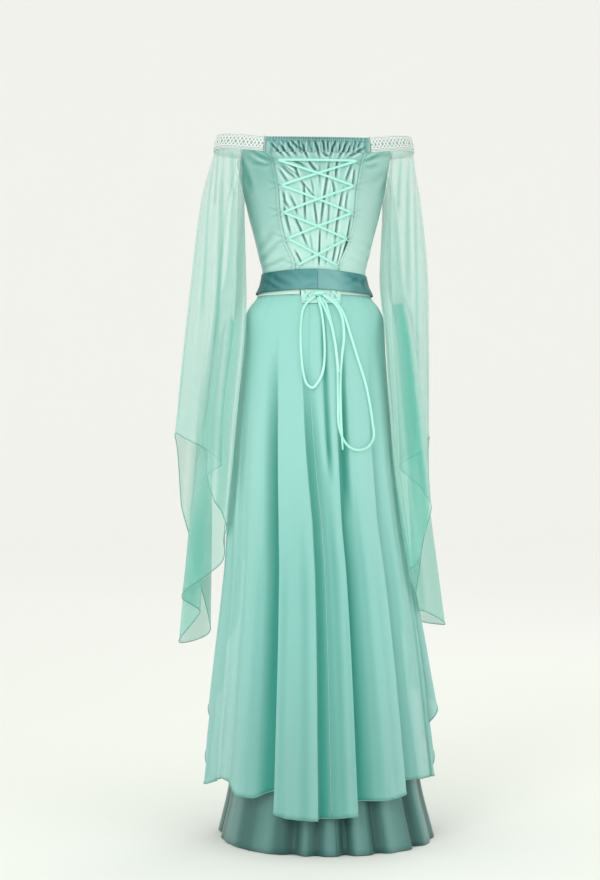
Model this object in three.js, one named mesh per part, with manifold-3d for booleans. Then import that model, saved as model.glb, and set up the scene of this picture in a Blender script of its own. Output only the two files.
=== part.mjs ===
// An off-the-shoulder gown, worn and hollow: fitted bodice laced at the back, satin belt,
// sheer overskirt over a satin underskirt, and two sheer sleeves with long folded hems.
// Millimetres, +Z up. The wearer faces +Y, so the laced back faces -Y.
// The origin is at the middle of the gown, at the height of the neckline trim.
import * as THREE from "three";
import { mergeVertices } from "three/addons/utils/BufferGeometryUtils.js";
import Module from "manifold-3d";

// Driving sizes
const SEAM = 0.35; // gap between neighbouring pieces
const TRIM_TOP = 10.5; // neckline trim at its outermost points
const TRIM_HEIGHT = 30.5;
const BACK_DROP = 10; // how far the neckline dips at the back and in front
const FRONT_DROP = 5;
const CASING_HALF_WIDTH = 102; // elastic casing at the centre back
const ARMPIT_Z = -118;
const BELT_TOP = -259; // at the centre back
const BELT_HEIGHT = 40;
const BODICE_END = -284; // hidden under the belt
const WAIST_SEAM = -309; // where both skirts hang from
const TAB_END = -327;
const UNDERSKIRT_HEM = -1376;
const SATIN = 1.4;
const CHIFFON = 1.1;
const BRAID = 2;
const RIBBON_WIDTH = 6;
const RIBBON = 1.1;

// Outer surface of the body of the gown: half width, back and front depth, roundness, drift
const bodyRings = [
  { z: 30, side: 191, back: 75, front: 88, power: 2.8, drift: 0 },
  { z: 18, side: 193, back: 76, front: 89, power: 2.8, drift: 0 },
  { z: -18, side: 200, back: 80, front: 96, power: 2.8, drift: 0 },
  { z: -50, side: 170, back: 83, front: 108, power: 2.6, drift: 0 },
  { z: -85, side: 149, back: 87, front: 115, power: 2.4, drift: 0 },
  { z: -118, side: 137.5, back: 88, front: 116, power: 2.3, drift: 0 },
  { z: -150, side: 130, back: 87, front: 108, power: 2.25, drift: 0 },
  { z: -190, side: 119.5, back: 84, front: 96, power: 2.2, drift: 0 },
  { z: -230, side: 110, back: 80, front: 87, power: 2.2, drift: 0 },
  { z: -262, side: 103, back: 79, front: 82, power: 2.2, drift: 0 },
  { z: -284, side: 106, back: 82, front: 84, power: 2.2, drift: 0 },
  { z: -309, side: 114, back: 87, front: 89, power: 2.2, drift: 0 },
  { z: -332, side: 131, back: 97, front: 98, power: 2.2, drift: 0 },
  { z: -354, side: 140, back: 103, front: 103, power: 2.2, drift: 0 },
  { z: -420, side: 143.5, back: 116, front: 112, power: 2.2, drift: 0 },
  { z: -550, side: 154, back: 135, front: 127, power: 2.2, drift: 0 },
  { z: -738, side: 173, back: 160, front: 150, power: 2.2, drift: 3 },
  { z: -860, side: 184, back: 176, front: 165, power: 2.2, drift: 9 },
  { z: -1052, side: 204, back: 201, front: 188, power: 2.2, drift: 13 },
  { z: -1176, side: 216, back: 217, front: 203, power: 2.2, drift: 14 },
  { z: -1300, side: 228, back: 232, front: 217, power: 2.2, drift: 15 },
  { z: -1400, side: 236, back: 243, front: 228, power: 2.2, drift: 15 },
];

// Where the bodice ends at the arm: angle from the centre back, back edge and front edge
const armholeEdge = [
  { z: -18, back: 65.5, front: 118.5 },
  { z: -48, back: 69, front: 114.5 },
  { z: -85, back: 76, front: 107 },
  { z: -112, back: 84.5, front: 98 },
  { z: -118, back: 91.5, front: 92.5 },
  { z: -400, back: 91.5, front: 92.5 },
];

// Half width of the gap between the back panels, filled by the gathered insert
const backGap = [
  { z: -25, half: 91 },
  { z: -47, half: 85 },
  { z: -97, half: 77 },
  { z: -150, half: 73 },
  { z: -200, half: 62.5 },
  { z: -252, half: 43.5 },
  { z: -340, half: 42 },
];

// Overskirt troughs: angle from the centre back at three heights, where each starts, half
// widths on its two sides in degrees, and depth at the hem
const skirtTroughs = [
  { name: "leftFrontSoft", waist: -84, mid: -80, hem: -78, start: -420, low: 7, high: 5, depth: 11 },
  { name: "leftSideSoft", waist: -68, mid: -64, hem: -62, start: -360, low: 6, high: 7, depth: 13 },
  { name: "leftSoft", waist: -54, mid: -47, hem: -46, start: -330, low: 6, high: 6, depth: 12 },
  { name: "leftDeep", waist: -38, mid: -30.4, hem: -28.6, start: -325, low: 9, high: 3, depth: 24 },
  { name: "leftMiddleSoft", waist: -24, mid: -18, hem: -17, start: -400, low: 5, high: 4, depth: 8 },
  { name: "leftInner", waist: -12.5, mid: -6.8, hem: -5.6, start: -340, low: 3, high: 7, depth: 14 },
  { name: "centreShort", waist: 4, mid: 6.2, hem: 5, start: -400, low: 4, high: 4, depth: 7 },
  { name: "rightInner", waist: 12, mid: 16.4, hem: 11.6, start: -440, low: 3, high: 8, depth: 19 },
  { name: "rightSoft", waist: 24, mid: 27, hem: 26, start: -380, low: 6, high: 5, depth: 11 },
  { name: "rightDeep", waist: 35, mid: 40, hem: 41.4, start: -400, low: 8, high: 3.5, depth: 20 },
  { name: "rightSideSoft", waist: 52, mid: 55, hem: 56, start: -340, low: 6, high: 6, depth: 12 },
  { name: "rightSide", waist: 68, mid: 70, hem: 72, start: -350, low: 8, high: 5, depth: 15 },
  { name: "rightFrontSoft", waist: 86, mid: 85, hem: 85, start: -420, low: 5, high: 6, depth: 10 },
];

// Overskirt hem height by angle, and the waves of the front cascade, outward at the edge
const overskirtHem = [
  { angle: -172, z: -326, wave: 0 },
  { angle: -166, z: -372, wave: 8 },
  { angle: -158, z: -470, wave: -3 },
  { angle: -150, z: -590, wave: 14 },
  { angle: -141, z: -700, wave: -4 },
  { angle: -132, z: -850, wave: 17 },
  { angle: -123, z: -950, wave: -5 },
  { angle: -114, z: -1090, wave: 18 },
  { angle: -106, z: -1165, wave: -5 },
  { angle: -98, z: -1238, wave: 9 },
  { angle: -88, z: -1270, wave: 0 },
  { angle: -46, z: -1272, wave: 0 },
  { angle: -31, z: -1268, wave: 0 },
  { angle: -25, z: -1296, wave: 0 },
  { angle: -10, z: -1303, wave: 0 },
  { angle: 9, z: -1301, wave: 0 },
  { angle: 15, z: -1276, wave: 0 },
  { angle: 33, z: -1273, wave: 0 },
  { angle: 60, z: -1264, wave: 0 },
  { angle: 88, z: -1262, wave: 0 },
  { angle: 97, z: -1218, wave: 13 },
  { angle: 105, z: -1140, wave: -5 },
  { angle: 113, z: -1060, wave: 21 },
  { angle: 122, z: -930, wave: -5 },
  { angle: 131, z: -830, wave: 17 },
  { angle: 140, z: -690, wave: -4 },
  { angle: 149, z: -580, wave: 14 },
  { angle: 157, z: -462, wave: -3 },
  { angle: 165, z: -370, wave: 8 },
  { angle: 172, z: -326, wave: 0 },
];

// Underskirt folds at the hem: angle, half width in degrees, depth inward
const underFolds = [
  { angle: -150, half: 10, depth: 12 },
  { angle: -118, half: 9, depth: 14 },
  { angle: -88, half: 8, depth: 12 },
  { angle: -58, half: 8, depth: 13 },
  { angle: -37, half: 6, depth: 8 },
  { angle: -20, half: 6, depth: 15 },
  { angle: -4, half: 5, depth: 8 },
  { angle: 9, half: 4, depth: 13 },
  { angle: 25, half: 6, depth: 16 },
  { angle: 45, half: 7, depth: 14 },
  { angle: 66, half: 7, depth: 12 },
  { angle: 92, half: 9, depth: 13 },
  { angle: 121, half: 9, depth: 14 },
  { angle: 152, half: 10, depth: 12 },
  { angle: 180, half: 9, depth: 13 },
];

// Each sleeve as fold lines round the arm. "top" runs round the armhole, 0 at the back
// edge, 0.5 at the front edge; then out (away from the body) and y at three heights.
const leftFolds = [
  { top: 0.02, elbowOut: 158, elbowY: -44, wristOut: 185, wristY: -46, hemZ: -640, hemOut: 186, hemY: -48 },
  { top: 0.09, elbowOut: 188, elbowY: -40, wristOut: 217, wristY: -34, hemZ: -612, hemOut: 218, hemY: -34 },
  { top: 0.15, elbowOut: 211, elbowY: -47, wristOut: 239, wristY: -48, hemZ: -600, hemOut: 240, hemY: -49 },
  { top: 0.2, elbowOut: 231, elbowY: -33, wristOut: 259, wristY: -30, hemZ: -590, hemOut: 260, hemY: -30 },
  { top: 0.26, elbowOut: 247, elbowY: -8, wristOut: 277, wristY: -8, hemZ: -582, hemOut: 277, hemY: -8 },
  { top: 0.32, elbowOut: 243, elbowY: 22, wristOut: 270, wristY: 26, hemZ: -625, hemOut: 271, hemY: 28 },
  { top: 0.38, elbowOut: 228, elbowY: 44, wristOut: 250, wristY: 46, hemZ: -730, hemOut: 262, hemY: 60 },
  { top: 0.44, elbowOut: 206, elbowY: 50, wristOut: 222, wristY: 62, hemZ: -860, hemOut: 232, hemY: 92 },
  { top: 0.5, elbowOut: 186, elbowY: 60, wristOut: 200, wristY: 78, hemZ: -985, hemOut: 206, hemY: 104 },
  { top: 0.56, elbowOut: 196, elbowY: 46, wristOut: 232, wristY: 56, hemZ: -1003, hemOut: 270, hemY: 72 },
  { top: 0.62, elbowOut: 176, elbowY: 36, wristOut: 204, wristY: 40, hemZ: -940, hemOut: 228, hemY: 50 },
  { top: 0.68, elbowOut: 182, elbowY: 22, wristOut: 224, wristY: 26, hemZ: -904, hemOut: 264, hemY: 32 },
  { top: 0.75, elbowOut: 141, elbowY: 14, wristOut: 166, wristY: 16, hemZ: -838, hemOut: 184, hemY: 18 },
  { top: 0.82, elbowOut: 139, elbowY: -4, wristOut: 163, wristY: -4, hemZ: -760, hemOut: 178, hemY: -4 },
  { top: 0.88, elbowOut: 168, elbowY: -14, wristOut: 196, wristY: -12, hemZ: -712, hemOut: 200, hemY: -12 },
  { top: 0.95, elbowOut: 180, elbowY: -26, wristOut: 212, wristY: -24, hemZ: -664, hemOut: 214, hemY: -24 },
];
const rightFolds = [
  { top: 0.02, elbowOut: 151, elbowY: -44, wristOut: 164, wristY: -50, hemZ: -650, hemOut: 166, hemY: -54 },
  { top: 0.09, elbowOut: 175, elbowY: -40, wristOut: 182, wristY: -40, hemZ: -633, hemOut: 183, hemY: -42 },
  { top: 0.15, elbowOut: 196, elbowY: -47, wristOut: 199, wristY: -49, hemZ: -622, hemOut: 199, hemY: -50 },
  { top: 0.2, elbowOut: 214, elbowY: -33, wristOut: 215, wristY: -33, hemZ: -608, hemOut: 214, hemY: -33 },
  { top: 0.26, elbowOut: 229, elbowY: -6, wristOut: 231, wristY: -8, hemZ: -588, hemOut: 228, hemY: -8 },
  { top: 0.32, elbowOut: 227, elbowY: 22, wristOut: 232, wristY: 24, hemZ: -630, hemOut: 234, hemY: 26 },
  { top: 0.38, elbowOut: 215, elbowY: 42, wristOut: 226, wristY: 46, hemZ: -720, hemOut: 240, hemY: 58 },
  { top: 0.44, elbowOut: 196, elbowY: 50, wristOut: 206, wristY: 60, hemZ: -850, hemOut: 226, hemY: 88 },
  { top: 0.5, elbowOut: 180, elbowY: 60, wristOut: 194, wristY: 74, hemZ: -960, hemOut: 222, hemY: 106 },
  { top: 0.56, elbowOut: 190, elbowY: 46, wristOut: 224, wristY: 56, hemZ: -972, hemOut: 278, hemY: 76 },
  { top: 0.62, elbowOut: 172, elbowY: 36, wristOut: 200, wristY: 42, hemZ: -944, hemOut: 244, hemY: 52 },
  { top: 0.68, elbowOut: 147, elbowY: 22, wristOut: 174, wristY: 26, hemZ: -926, hemOut: 210, hemY: 34 },
  { top: 0.75, elbowOut: 146, elbowY: 6, wristOut: 168, wristY: 10, hemZ: -872, hemOut: 196, hemY: 14 },
  { top: 0.82, elbowOut: 160, elbowY: -6, wristOut: 196, wristY: -4, hemZ: -822, hemOut: 224, hemY: -2 },
  { top: 0.88, elbowOut: 176, elbowY: -16, wristOut: 212, wristY: -14, hemZ: -724, hemOut: 223, hemY: -14 },
  { top: 0.95, elbowOut: 160, elbowY: -28, wristOut: 186, wristY: -28, hemZ: -684, hemOut: 204, hemY: -30 },
];
const CAP_Z = -110; // the sleeve swells to half of its elbow's spread by here
const ELBOW_Z = -300;
const WRIST_Z = -580;

// Loop pairs on the edges of the back panels, top to bottom: height and half spacing
const loopPairs = [
  { name: "1", z: -47, half: 77 },
  { name: "2", z: -97, half: 70 },
  { name: "3", z: -149.5, half: 66 },
  { name: "4", z: -200, half: 56.5 },
  { name: "5", z: -252, half: 37.5 },
];
const BACK_CENTRE = 0;
const TAB_CENTRE = 6; // the insert's tab below the belt sits a little to the right
const TAB_HALF = 38;

// Knot: half width, half height and half thickness, and its place on the back
const knotSize = { across: 11, up: 7, out: 4.2 };
const knotAt = { x: 2, z: -308, lift: 8.6 };

// Ribbon ends below the knot: where each leaves it (x and out from the knot's middle), and
// x, z and lift off the skirt along each route
const bowRoutes = {
  bow_loop_left: {
    leaves: { x: -8.4, out: 0.3 },
    returns: { x: -1.7, out: 0.3 },
    route: [
      { x: -18, z: -324, lift: 7.2 }, { x: -28, z: -338, lift: 4.6 }, { x: -33, z: -362, lift: 2.6 },
      { x: -35, z: -390, lift: 2.4 }, { x: -34, z: -430, lift: 2.4 }, { x: -31, z: -462, lift: 2.4 },
      { x: -24, z: -486, lift: 2.4 }, { x: -14, z: -493, lift: 2.4 }, { x: -3, z: -482, lift: 2.4 },
      { x: 6, z: -462, lift: 2.4 }, { x: 10, z: -430, lift: 2.4 }, { x: 10, z: -400, lift: 2.4 },
      { x: 8, z: -365, lift: 3 }, { x: 4, z: -338, lift: 6.4 },
    ],
  },
  bow_loop_right: {
    leaves: { x: 4.9, out: 0.3 },
    returns: { x: 10, out: 0.3 },
    route: [
      { x: 14, z: -331, lift: 7 }, { x: 21, z: -357, lift: 6 }, { x: 27, z: -385, lift: 5 }, { x: 31, z: -420, lift: 4.4 },
      { x: 34, z: -460, lift: 4.4 }, { x: 34, z: -517, lift: 4.4 }, { x: 36, z: -573, lift: 4.4 },
      { x: 50, z: -603, lift: 4.4 }, { x: 68, z: -613, lift: 4.4 }, { x: 90, z: -608, lift: 4.4 },
      { x: 103, z: -590, lift: 4.4 }, { x: 101, z: -555, lift: 4.4 }, { x: 90, z: -491, lift: 4.4 },
      { x: 74, z: -437, lift: 4.4 }, { x: 60, z: -390, lift: 4.6 }, { x: 46, z: -348, lift: 6.4 },
      { x: 30, z: -323, lift: 7.6 },
    ],
  },
  tail_left: {
    leaves: { x: 0.5, out: 2.8 },
    route: [
      { x: 12, z: -342, lift: 9.6 }, { x: 22, z: -370, lift: 7.4 }, { x: 29, z: -405, lift: 6.5 },
      { x: 33, z: -440, lift: 6.4 }, { x: 35, z: -463, lift: 6.4 },
    ],
  },
  tail_right: {
    leaves: { x: 7, out: 2.8 },
    route: [
      { x: 30, z: -331, lift: 10.6 }, { x: 42, z: -354, lift: 8.4 }, { x: 46, z: -390, lift: 7 },
      { x: 41, z: -432, lift: 8.4 }, { x: 38, z: -480, lift: 8.2 }, { x: 38, z: -540, lift: 6.6 },
      { x: 41, z: -613, lift: 6.6 },
    ],
  },
};

const colours = {
  bodice: 0x9acbbd, insert: 0x84b5aa, casing: 0x6a9d98, braid: 0xd3dcd6, belt: 0x4f8f92,
  strip: 0xbfe0d2, overskirt: 0x93d3c4, underskirt: 0x5f8f87, sleeve: 0xb9d6c9, ribbon: 0xa5f0e0,
};

const DEG = Math.PI / 180;
const clamp = (value, low, high) => Math.min(high, Math.max(low, value));
const smooth = (t) => { const c = clamp(t, 0, 1); return c * c * (3 - 2 * c); };

// Reads one column of a table at a place along its key column, on a smooth curve
function read(table, key, column, at) {
  const n = table.length;
  const up = table[n - 1][key] > table[0][key];
  const row = (i) => table[up ? i : n - 1 - i];
  if (at <= row(0)[key]) return row(0)[column];
  if (at >= row(n - 1)[key]) return row(n - 1)[column];
  let i = 0;
  while (row(i + 1)[key] < at) i += 1;
  const span = row(i + 1)[key] - row(i)[key];
  const slope = (k) => {
    if (k <= 0) return (row(1)[column] - row(0)[column]) / (row(1)[key] - row(0)[key]);
    if (k >= n - 1) return (row(k)[column] - row(k - 1)[column]) / (row(k)[key] - row(k - 1)[key]);
    const before = (row(k)[column] - row(k - 1)[column]) / (row(k)[key] - row(k - 1)[key]);
    const after = (row(k + 1)[column] - row(k)[column]) / (row(k + 1)[key] - row(k)[key]);
    return before * after <= 0 ? 0 : (2 * before * after) / (before + after);
  };
  const t = (at - row(i)[key]) / span;
  const t2 = t * t;
  const t3 = t2 * t;
  return (2 * t3 - 3 * t2 + 1) * row(i)[column] + (t3 - 2 * t2 + t) * span * slope(i)
    + (3 * t2 - 2 * t3) * row(i + 1)[column] + (t3 - t2) * span * slope(i + 1);
}

// Radius of the gown's outer surface at an angle from the centre back (degrees) and height
function bodyRadius(angle, z) {
  const side = read(bodyRings, "z", "side", z);
  const power = read(bodyRings, "z", "power", z);
  const s = Math.abs(Math.sin(angle * DEG));
  const c = Math.cos(angle * DEG);
  const depth = read(bodyRings, "z", c > 0 ? "back" : "front", z);
  return 1 / Math.pow(Math.pow(s / side, power) + Math.pow(Math.abs(c) / depth, power), 1 / power);
}

function polar(angle, radius, z) {
  const drift = read(bodyRings, "z", "drift", z);
  return new THREE.Vector3(
    drift + radius * Math.sin(angle * DEG), -radius * Math.cos(angle * DEG), z);
}

const bodyPoint = (angle, z, lift = 0) => polar(angle, bodyRadius(angle, z) + lift, z);

// Angle at which the back surface has a given x
function backAngle(x, z) {
  let low = -89;
  let high = 89;
  for (let i = 0; i < 40; i += 1) {
    const mid = (low + high) / 2;
    if (bodyPoint(mid, z).x < x) low = mid; else high = mid;
  }
  return (low + high) / 2;
}

// A closed wall over a grid of places: surface(u, v) gives points, the wall stands from
// "from" to "to" along the normal that points away from the cloth's inner side
function wall(surface, us, vs, from, to, closed = false, outward = 1) {
  const positions = [];
  const step = 1e-3;
  const columns = us.length;
  const rows = vs.length;
  const du = (us[columns - 1] - us[0]) * step;
  for (const lift of [from, to]) {
    for (const v of vs) {
      for (const u of us) {
        const a = surface(u + du, v).sub(surface(u - du, v));
        const b = surface(u, v + step).sub(surface(u, v - step));
        const normal = b.cross(a).normalize().multiplyScalar(outward * lift);
        positions.push(...surface(u, v).add(normal).toArray());
      }
    }
  }
  const at = (layer, row, column) => (layer * rows + row) * columns + (column % columns);
  const index = [];
  const quad = (a, b, c, d) => index.push(a, b, c, a, c, d);
  const last = closed ? columns : columns - 1;
  for (let r = 0; r < rows - 1; r += 1) {
    for (let c = 0; c < last; c += 1) {
      quad(at(0, r, c), at(0, r, c + 1), at(0, r + 1, c + 1), at(0, r + 1, c));
      quad(at(1, r, c), at(1, r + 1, c), at(1, r + 1, c + 1), at(1, r, c + 1));
    }
    if (!closed) {
      quad(at(0, r, 0), at(0, r + 1, 0), at(1, r + 1, 0), at(1, r, 0));
      const e = columns - 1;
      quad(at(0, r, e), at(1, r, e), at(1, r + 1, e), at(0, r + 1, e));
    }
  }
  for (let c = 0; c < last; c += 1) {
    const e = rows - 1;
    quad(at(0, 0, c), at(1, 0, c), at(1, 0, c + 1), at(0, 0, c + 1));
    quad(at(0, e, c), at(0, e, c + 1), at(1, e, c + 1), at(1, e, c));
  }
  return solid(positions, index);
}

// Turns the faces outward if they were listed the other way round
function solid(positions, index) {
  let volume = 0;
  const p = (i) => new THREE.Vector3().fromArray(positions, 3 * i);
  for (let i = 0; i < index.length; i += 3) {
    volume += p(index[i]).dot(p(index[i + 1]).cross(p(index[i + 2])));
  }
  if (volume < 0) index.reverse();
  const geometry = new THREE.BufferGeometry();
  geometry.setAttribute("position", new THREE.Float32BufferAttribute(positions, 3));
  geometry.setIndex(index);
  return geometry;
}

const spread = (low, high, count) => Array.from(
  { length: count + 1 }, (_, i) => low + ((high - low) * i) / count);

const group = new THREE.Group();
function add(name, geometry, colour, roughness = 0.7) {
  geometry.computeVertexNormals();
  const material = new THREE.MeshStandardMaterial({ color: colour, roughness, metalness: 0 });
  const mesh = new THREE.Mesh(geometry, material);
  mesh.name = name;
  group.add(mesh);
}

const heightOf = (top, bottom) => (v) => top + (bottom - top) * v;

// The neckline dips at the back and, less, in front
function neckDrop(angle) {
  const away = Math.abs(((angle + 540) % 360) - 180);
  return BACK_DROP * smooth((80 - away) / 30) + FRONT_DROP * smooth((away - 105) / 40);
}
const trimTop = (angle) => TRIM_TOP - neckDrop(angle);
const trimEnd = (angle) => trimTop(angle) - TRIM_HEIGHT;

// Bodice front, from armhole to armhole, with its height as v
const seamAngle = 0.14;
const nominalTop = TRIM_TOP - TRIM_HEIGHT - SEAM;
const bodiceHeight = (angle, v) => heightOf(trimEnd(angle) - SEAM, BODICE_END)(v);
const share = (top, bottom, heights) => heights.map((z) => clamp((top - z) / (top - bottom), 0, 1));
const bodiceRows = share(nominalTop, BODICE_END,
  [-18, -48, -85, -112, -118, -150, -190, -230, -262, -284]);
add("bodice_front", wall((u, v) => {
  const edge = read(armholeEdge, "z", "front", bodiceHeight(110, v)) + seamAngle;
  const angle = edge + (360 - 2 * edge) * u;
  return bodyPoint(angle, bodiceHeight(angle, v));
}, spread(0, 1, 17), bodiceRows, -SATIN, 0), colours.bodice);

// Side-back panels, from the lacing edge to the armhole or side seam
for (const [name, side] of [["bodice_back_left", -1], ["bodice_back_right", 1]]) {
  add(name, wall((u, v) => {
    const level = bodiceHeight(75, v);
    const inner = backAngle(BACK_CENTRE + side * read(backGap, "z", "half", level), level);
    const outer = side * (read(armholeEdge, "z", "back", level) - seamAngle);
    const angle = inner + (outer - inner) * u;
    return bodyPoint(angle, bodiceHeight(angle, v));
  }, spread(0, 1, 6), bodiceRows, -SATIN, 0, false, side), colours.bodice);
}

// Gathered insert behind the lacing; under the belt it comes forward to lie on the skirt
const insertTop = nominalTop - BACK_DROP;
const insertLift = [
  { z: -18, lift: -3.8 },
  { z: -284, lift: -3.6 },
  { z: -303, lift: 1.2 },
  { z: -310, lift: 1.7 },
  { z: -340, lift: 1.7 },
];
const insertEdge = [
  { z: -25, half: 96, centre: 0 },
  { z: -47, half: 93, centre: 0 },
  { z: -97, half: 85, centre: 0 },
  { z: -150, half: 81, centre: 0 },
  { z: -200, half: 70.5, centre: 0 },
  { z: -252, half: 52, centre: 0 },
  { z: -268, half: 46, centre: 0 },
  { z: -286, half: 39.5, centre: 4 },
  { z: -309, half: TAB_HALF, centre: TAB_CENTRE },
  { z: -340, half: TAB_HALF - 1, centre: TAB_CENTRE },
];
const INSERT_WAVES = 6;
function insertPoint(u, z) {
  const half = read(insertEdge, "z", "half", z);
  const x = read(insertEdge, "z", "centre", z) + u * half;
  const free = smooth((0.86 - Math.abs(u)) * 6) * smooth((z + 262) / 60) * smooth((-30 - z) / 10);
  const wave = Math.cos(u * Math.PI * INSERT_WAVES) * 0.9 * free;
  return bodyPoint(backAngle(x, z), z, read(insertLift, "z", "lift", z) + wave);
}
add("back_insert", wall((u, v) => insertPoint(u, heightOf(insertTop, TAB_END)(v)),
  spread(-1, 1, 24), share(insertTop, TAB_END,
    [-30, -48, -85, -118, -160, -210, -262, -284, -303, -311, -319, -327]), 0, 1.2),
colours.insert, 0.4);

// Elastic casing, waved by its gathers
const CASING_WAVES = 18;
const casingAngle = backAngle(CASING_HALF_WIDTH, 0);
add("neck_casing_back", wall((u, v) => {
  const angle = u * (casingAngle - 0.15);
  const z = heightOf(trimTop(angle) - 1, trimEnd(angle))(v);
  const wave = Math.cos(u * Math.PI * CASING_WAVES) * (0.7 + 0.9 * v) * smooth((1 - Math.abs(u)) * 12);
  return bodyPoint(angle, z, wave - 0.4);
}, spread(-1, 1, 54), [0, 0.5, 1], -SATIN, 0), colours.casing);

// Woven trim round each shoulder, from the casing to the centre front
for (const [name, side] of [["braid_left", -1], ["braid_right", 1]]) {
  add(name, wall((u, v) => {
    const angle = side * (casingAngle + 0.15 + (179.9 - casingAngle - 0.15) * u);
    return bodyPoint(angle, trimTop(angle) - TRIM_HEIGHT * v, 0.8);
  }, spread(0, 1, 30), [0, 1], -BRAID, 0, false, side), colours.braid);
}

// Satin belt in two halves, a little higher at the centre back, over the waist seam
const beltLift = [{ z: -300, lift: 3.4 }, { z: -284, lift: 0.9 }, { z: -262, lift: 0.4 }];
for (const [name, side] of [["belt_left", -1], ["belt_right", 1]]) {
  add(name, wall((u, v) => {
    const angle = side * (0.12 + (179.88 - 0.12) * u);
    const fall = 6.5 * smooth(Math.abs(angle) / 80) + 2 * Math.sin(angle * DEG);
    const z = BELT_TOP - fall - BELT_HEIGHT * v;
    return bodyPoint(angle, z, read(beltLift, "z", "lift", z));
  }, spread(0, 1, 22), [0, 0.5, 1], 0.35, 2.2, false, side), colours.belt, 0.35);
}

// Pale strip under the belt, broken at the centre back by the insert
for (const [name, side] of [["waist_strip_left", -1], ["waist_strip_right", 1]]) {
  add(name, wall((u, v) => {
    const z = heightOf(BODICE_END - SEAM, WAIST_SEAM)(v);
    const start = Math.abs(backAngle(TAB_CENTRE * 0.8 + side * 43, z));
    return bodyPoint(side * (start + (179.85 - start) * u), z);
  }, spread(0, 1, 22), [0, 1], -SATIN, 0, false, side), colours.strip, 0.5);
}

// Overskirt: folds keep to their own columns, which lean as the skirt falls
const troughShift = (angle, z) => {
  const t = clamp((-430 - z) / 320, 0, 1);
  const b = clamp((-750 - z) / 500, 0, 1);
  const row = (column) => read(shiftTable, "mid", column, angle);
  return (1 - t) * row("waistShift") + b * row("hemShift");
};
const shiftTable = [
  { mid: -95, waistShift: 0, hemShift: 0 },
  ...skirtTroughs.map((f) => ({ mid: f.mid, waistShift: f.waist - f.mid, hemShift: f.hem - f.mid })),
  { mid: 98, waistShift: 0, hemShift: 0 },
];

function overskirtRadius(angle, z) {
  let depth = 0;
  for (const fold of skirtTroughs) {
    const away = angle - fold.mid;
    const half = away < 0 ? fold.low : fold.high;
    const grow = smooth((fold.start - z) / 520) * 0.75 + 0.25 * smooth((fold.start - z) / 900);
    depth += fold.depth * grow * Math.exp(-Math.pow(Math.abs(away) / half, 1.7) * 1.4);
  }
  return depth;
}

function overskirtPoint(angle, v) {
  const top = WAIST_SEAM - SEAM;
  const hem = read(overskirtHem, "angle", "z", angle);
  const z = top + (hem - top) * v;
  const wave = read(overskirtHem, "angle", "wave", angle) * Math.pow(Math.max(v, 0), 1.6);
  const lean = troughShift(angle, z);
  return bodyPoint(angle + lean, z, wave - overskirtRadius(angle, z));
}

function skirtColumns(side) {
  const list = [side * 0.12, side * 171.5];
  for (const f of skirtTroughs) {
    for (const place of [f.mid - f.low, f.mid - f.low * 0.4, f.mid, f.mid + f.high]) list.push(place);
  }
  for (const h of overskirtHem) if (Math.abs(h.angle) > 90) list.push(h.angle);
  const wanted = list.map((a) => a * side).filter((a) => a >= 0.12 && a <= 171.5);
  wanted.sort((a, b) => a - b);
  const kept = [wanted[0]];
  for (const a of wanted) {
    while (a - kept[kept.length - 1] > 7.5) kept.push(kept[kept.length - 1] + 5);
    if (a - kept[kept.length - 1] > 1.4) kept.push(a);
  }
  kept[kept.length - 1] = 171.5;
  return kept.map((a) => a * side);
}

const skirtRows = [0, 0.024, 0.052, 0.13, 0.3, 0.52, 0.76, 1];
for (const [name, side] of [["overskirt_left", -1], ["overskirt_right", 1]]) {
  add(name, wall(overskirtPoint, skirtColumns(side), skirtRows, -CHIFFON - 0.2, -0.2, false,
    side), colours.overskirt, 0.6);
}

// Underskirt: hangs inside the overskirt's troughs and swells out below its hem
const underInset = [
  { z: -309, inset: 1.75 },
  { z: -360, inset: 6.5 },
  { z: -520, inset: 24 },
  { z: -800, inset: 34 },
  { z: -1150, inset: 36 },
  { z: -1270, inset: 33 },
  { z: -1376, inset: 17 },
];
const UNDERSKIRT_TOP = WAIST_SEAM - SEAM - 0.3;
function underskirtPoint(angle, v) {
  const z = heightOf(UNDERSKIRT_TOP, UNDERSKIRT_HEM)(v);
  let depth = 0;
  for (const fold of underFolds) {
    let away = Math.abs(((angle - fold.angle + 540) % 360) - 180);
    away /= fold.half;
    depth += fold.depth * smooth((-420 - z) / 950) * Math.exp(-away * away * 1.2);
  }
  const point = bodyPoint(angle, z, -read(underInset, "z", "inset", z) - depth);
  point.x += 9 * smooth((-1000 - z) / 376);
  return point;
}
const underRows = share(UNDERSKIRT_TOP, UNDERSKIRT_HEM,
  [-309, -332, -354, -450, -700, -1150, -1270, -1376]);
const gores = [
  ["underskirt_back_left", -91.9, -0.1, 20],
  ["underskirt_back_right", 0.1, 91.9, 20],
  ["underskirt_front", 92.1, 267.9, 26],
];
for (const [name, low, high, count] of gores) {
  add(name, wall(underskirtPoint, spread(low, high, count), underRows, -SATIN, 0),
    colours.underskirt, 0.35);
}

// Sleeves: the top edge runs under the trim and round the armhole
const ARM_GAP = 1.6;
function armholePoint(t) {
  const s = ((t % 1) + 1) % 1;
  if (s < 0.5) {
    const angle = 65.6 + (118.4 - 65.6) * (s / 0.5);
    const p = bodyPoint(angle, trimEnd(angle) - SEAM, -0.4);
    p.x += ARM_GAP * (1 - Math.sin(Math.PI * s * 2));
    return p;
  }
  const dip = Math.sin(Math.PI * (s - 0.5) * 2);
  const start = trimEnd(118.4 + (65.6 - 118.4) * (s - 0.5) * 2) - SEAM;
  const z = start + (ARMPIT_Z - start) * Math.pow(dip, 0.8);
  const column = s < 0.75 ? "front" : "back";
  const p = bodyPoint(read(armholeEdge, "z", column, z), z);
  p.x += ARM_GAP;
  return p;
}

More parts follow.
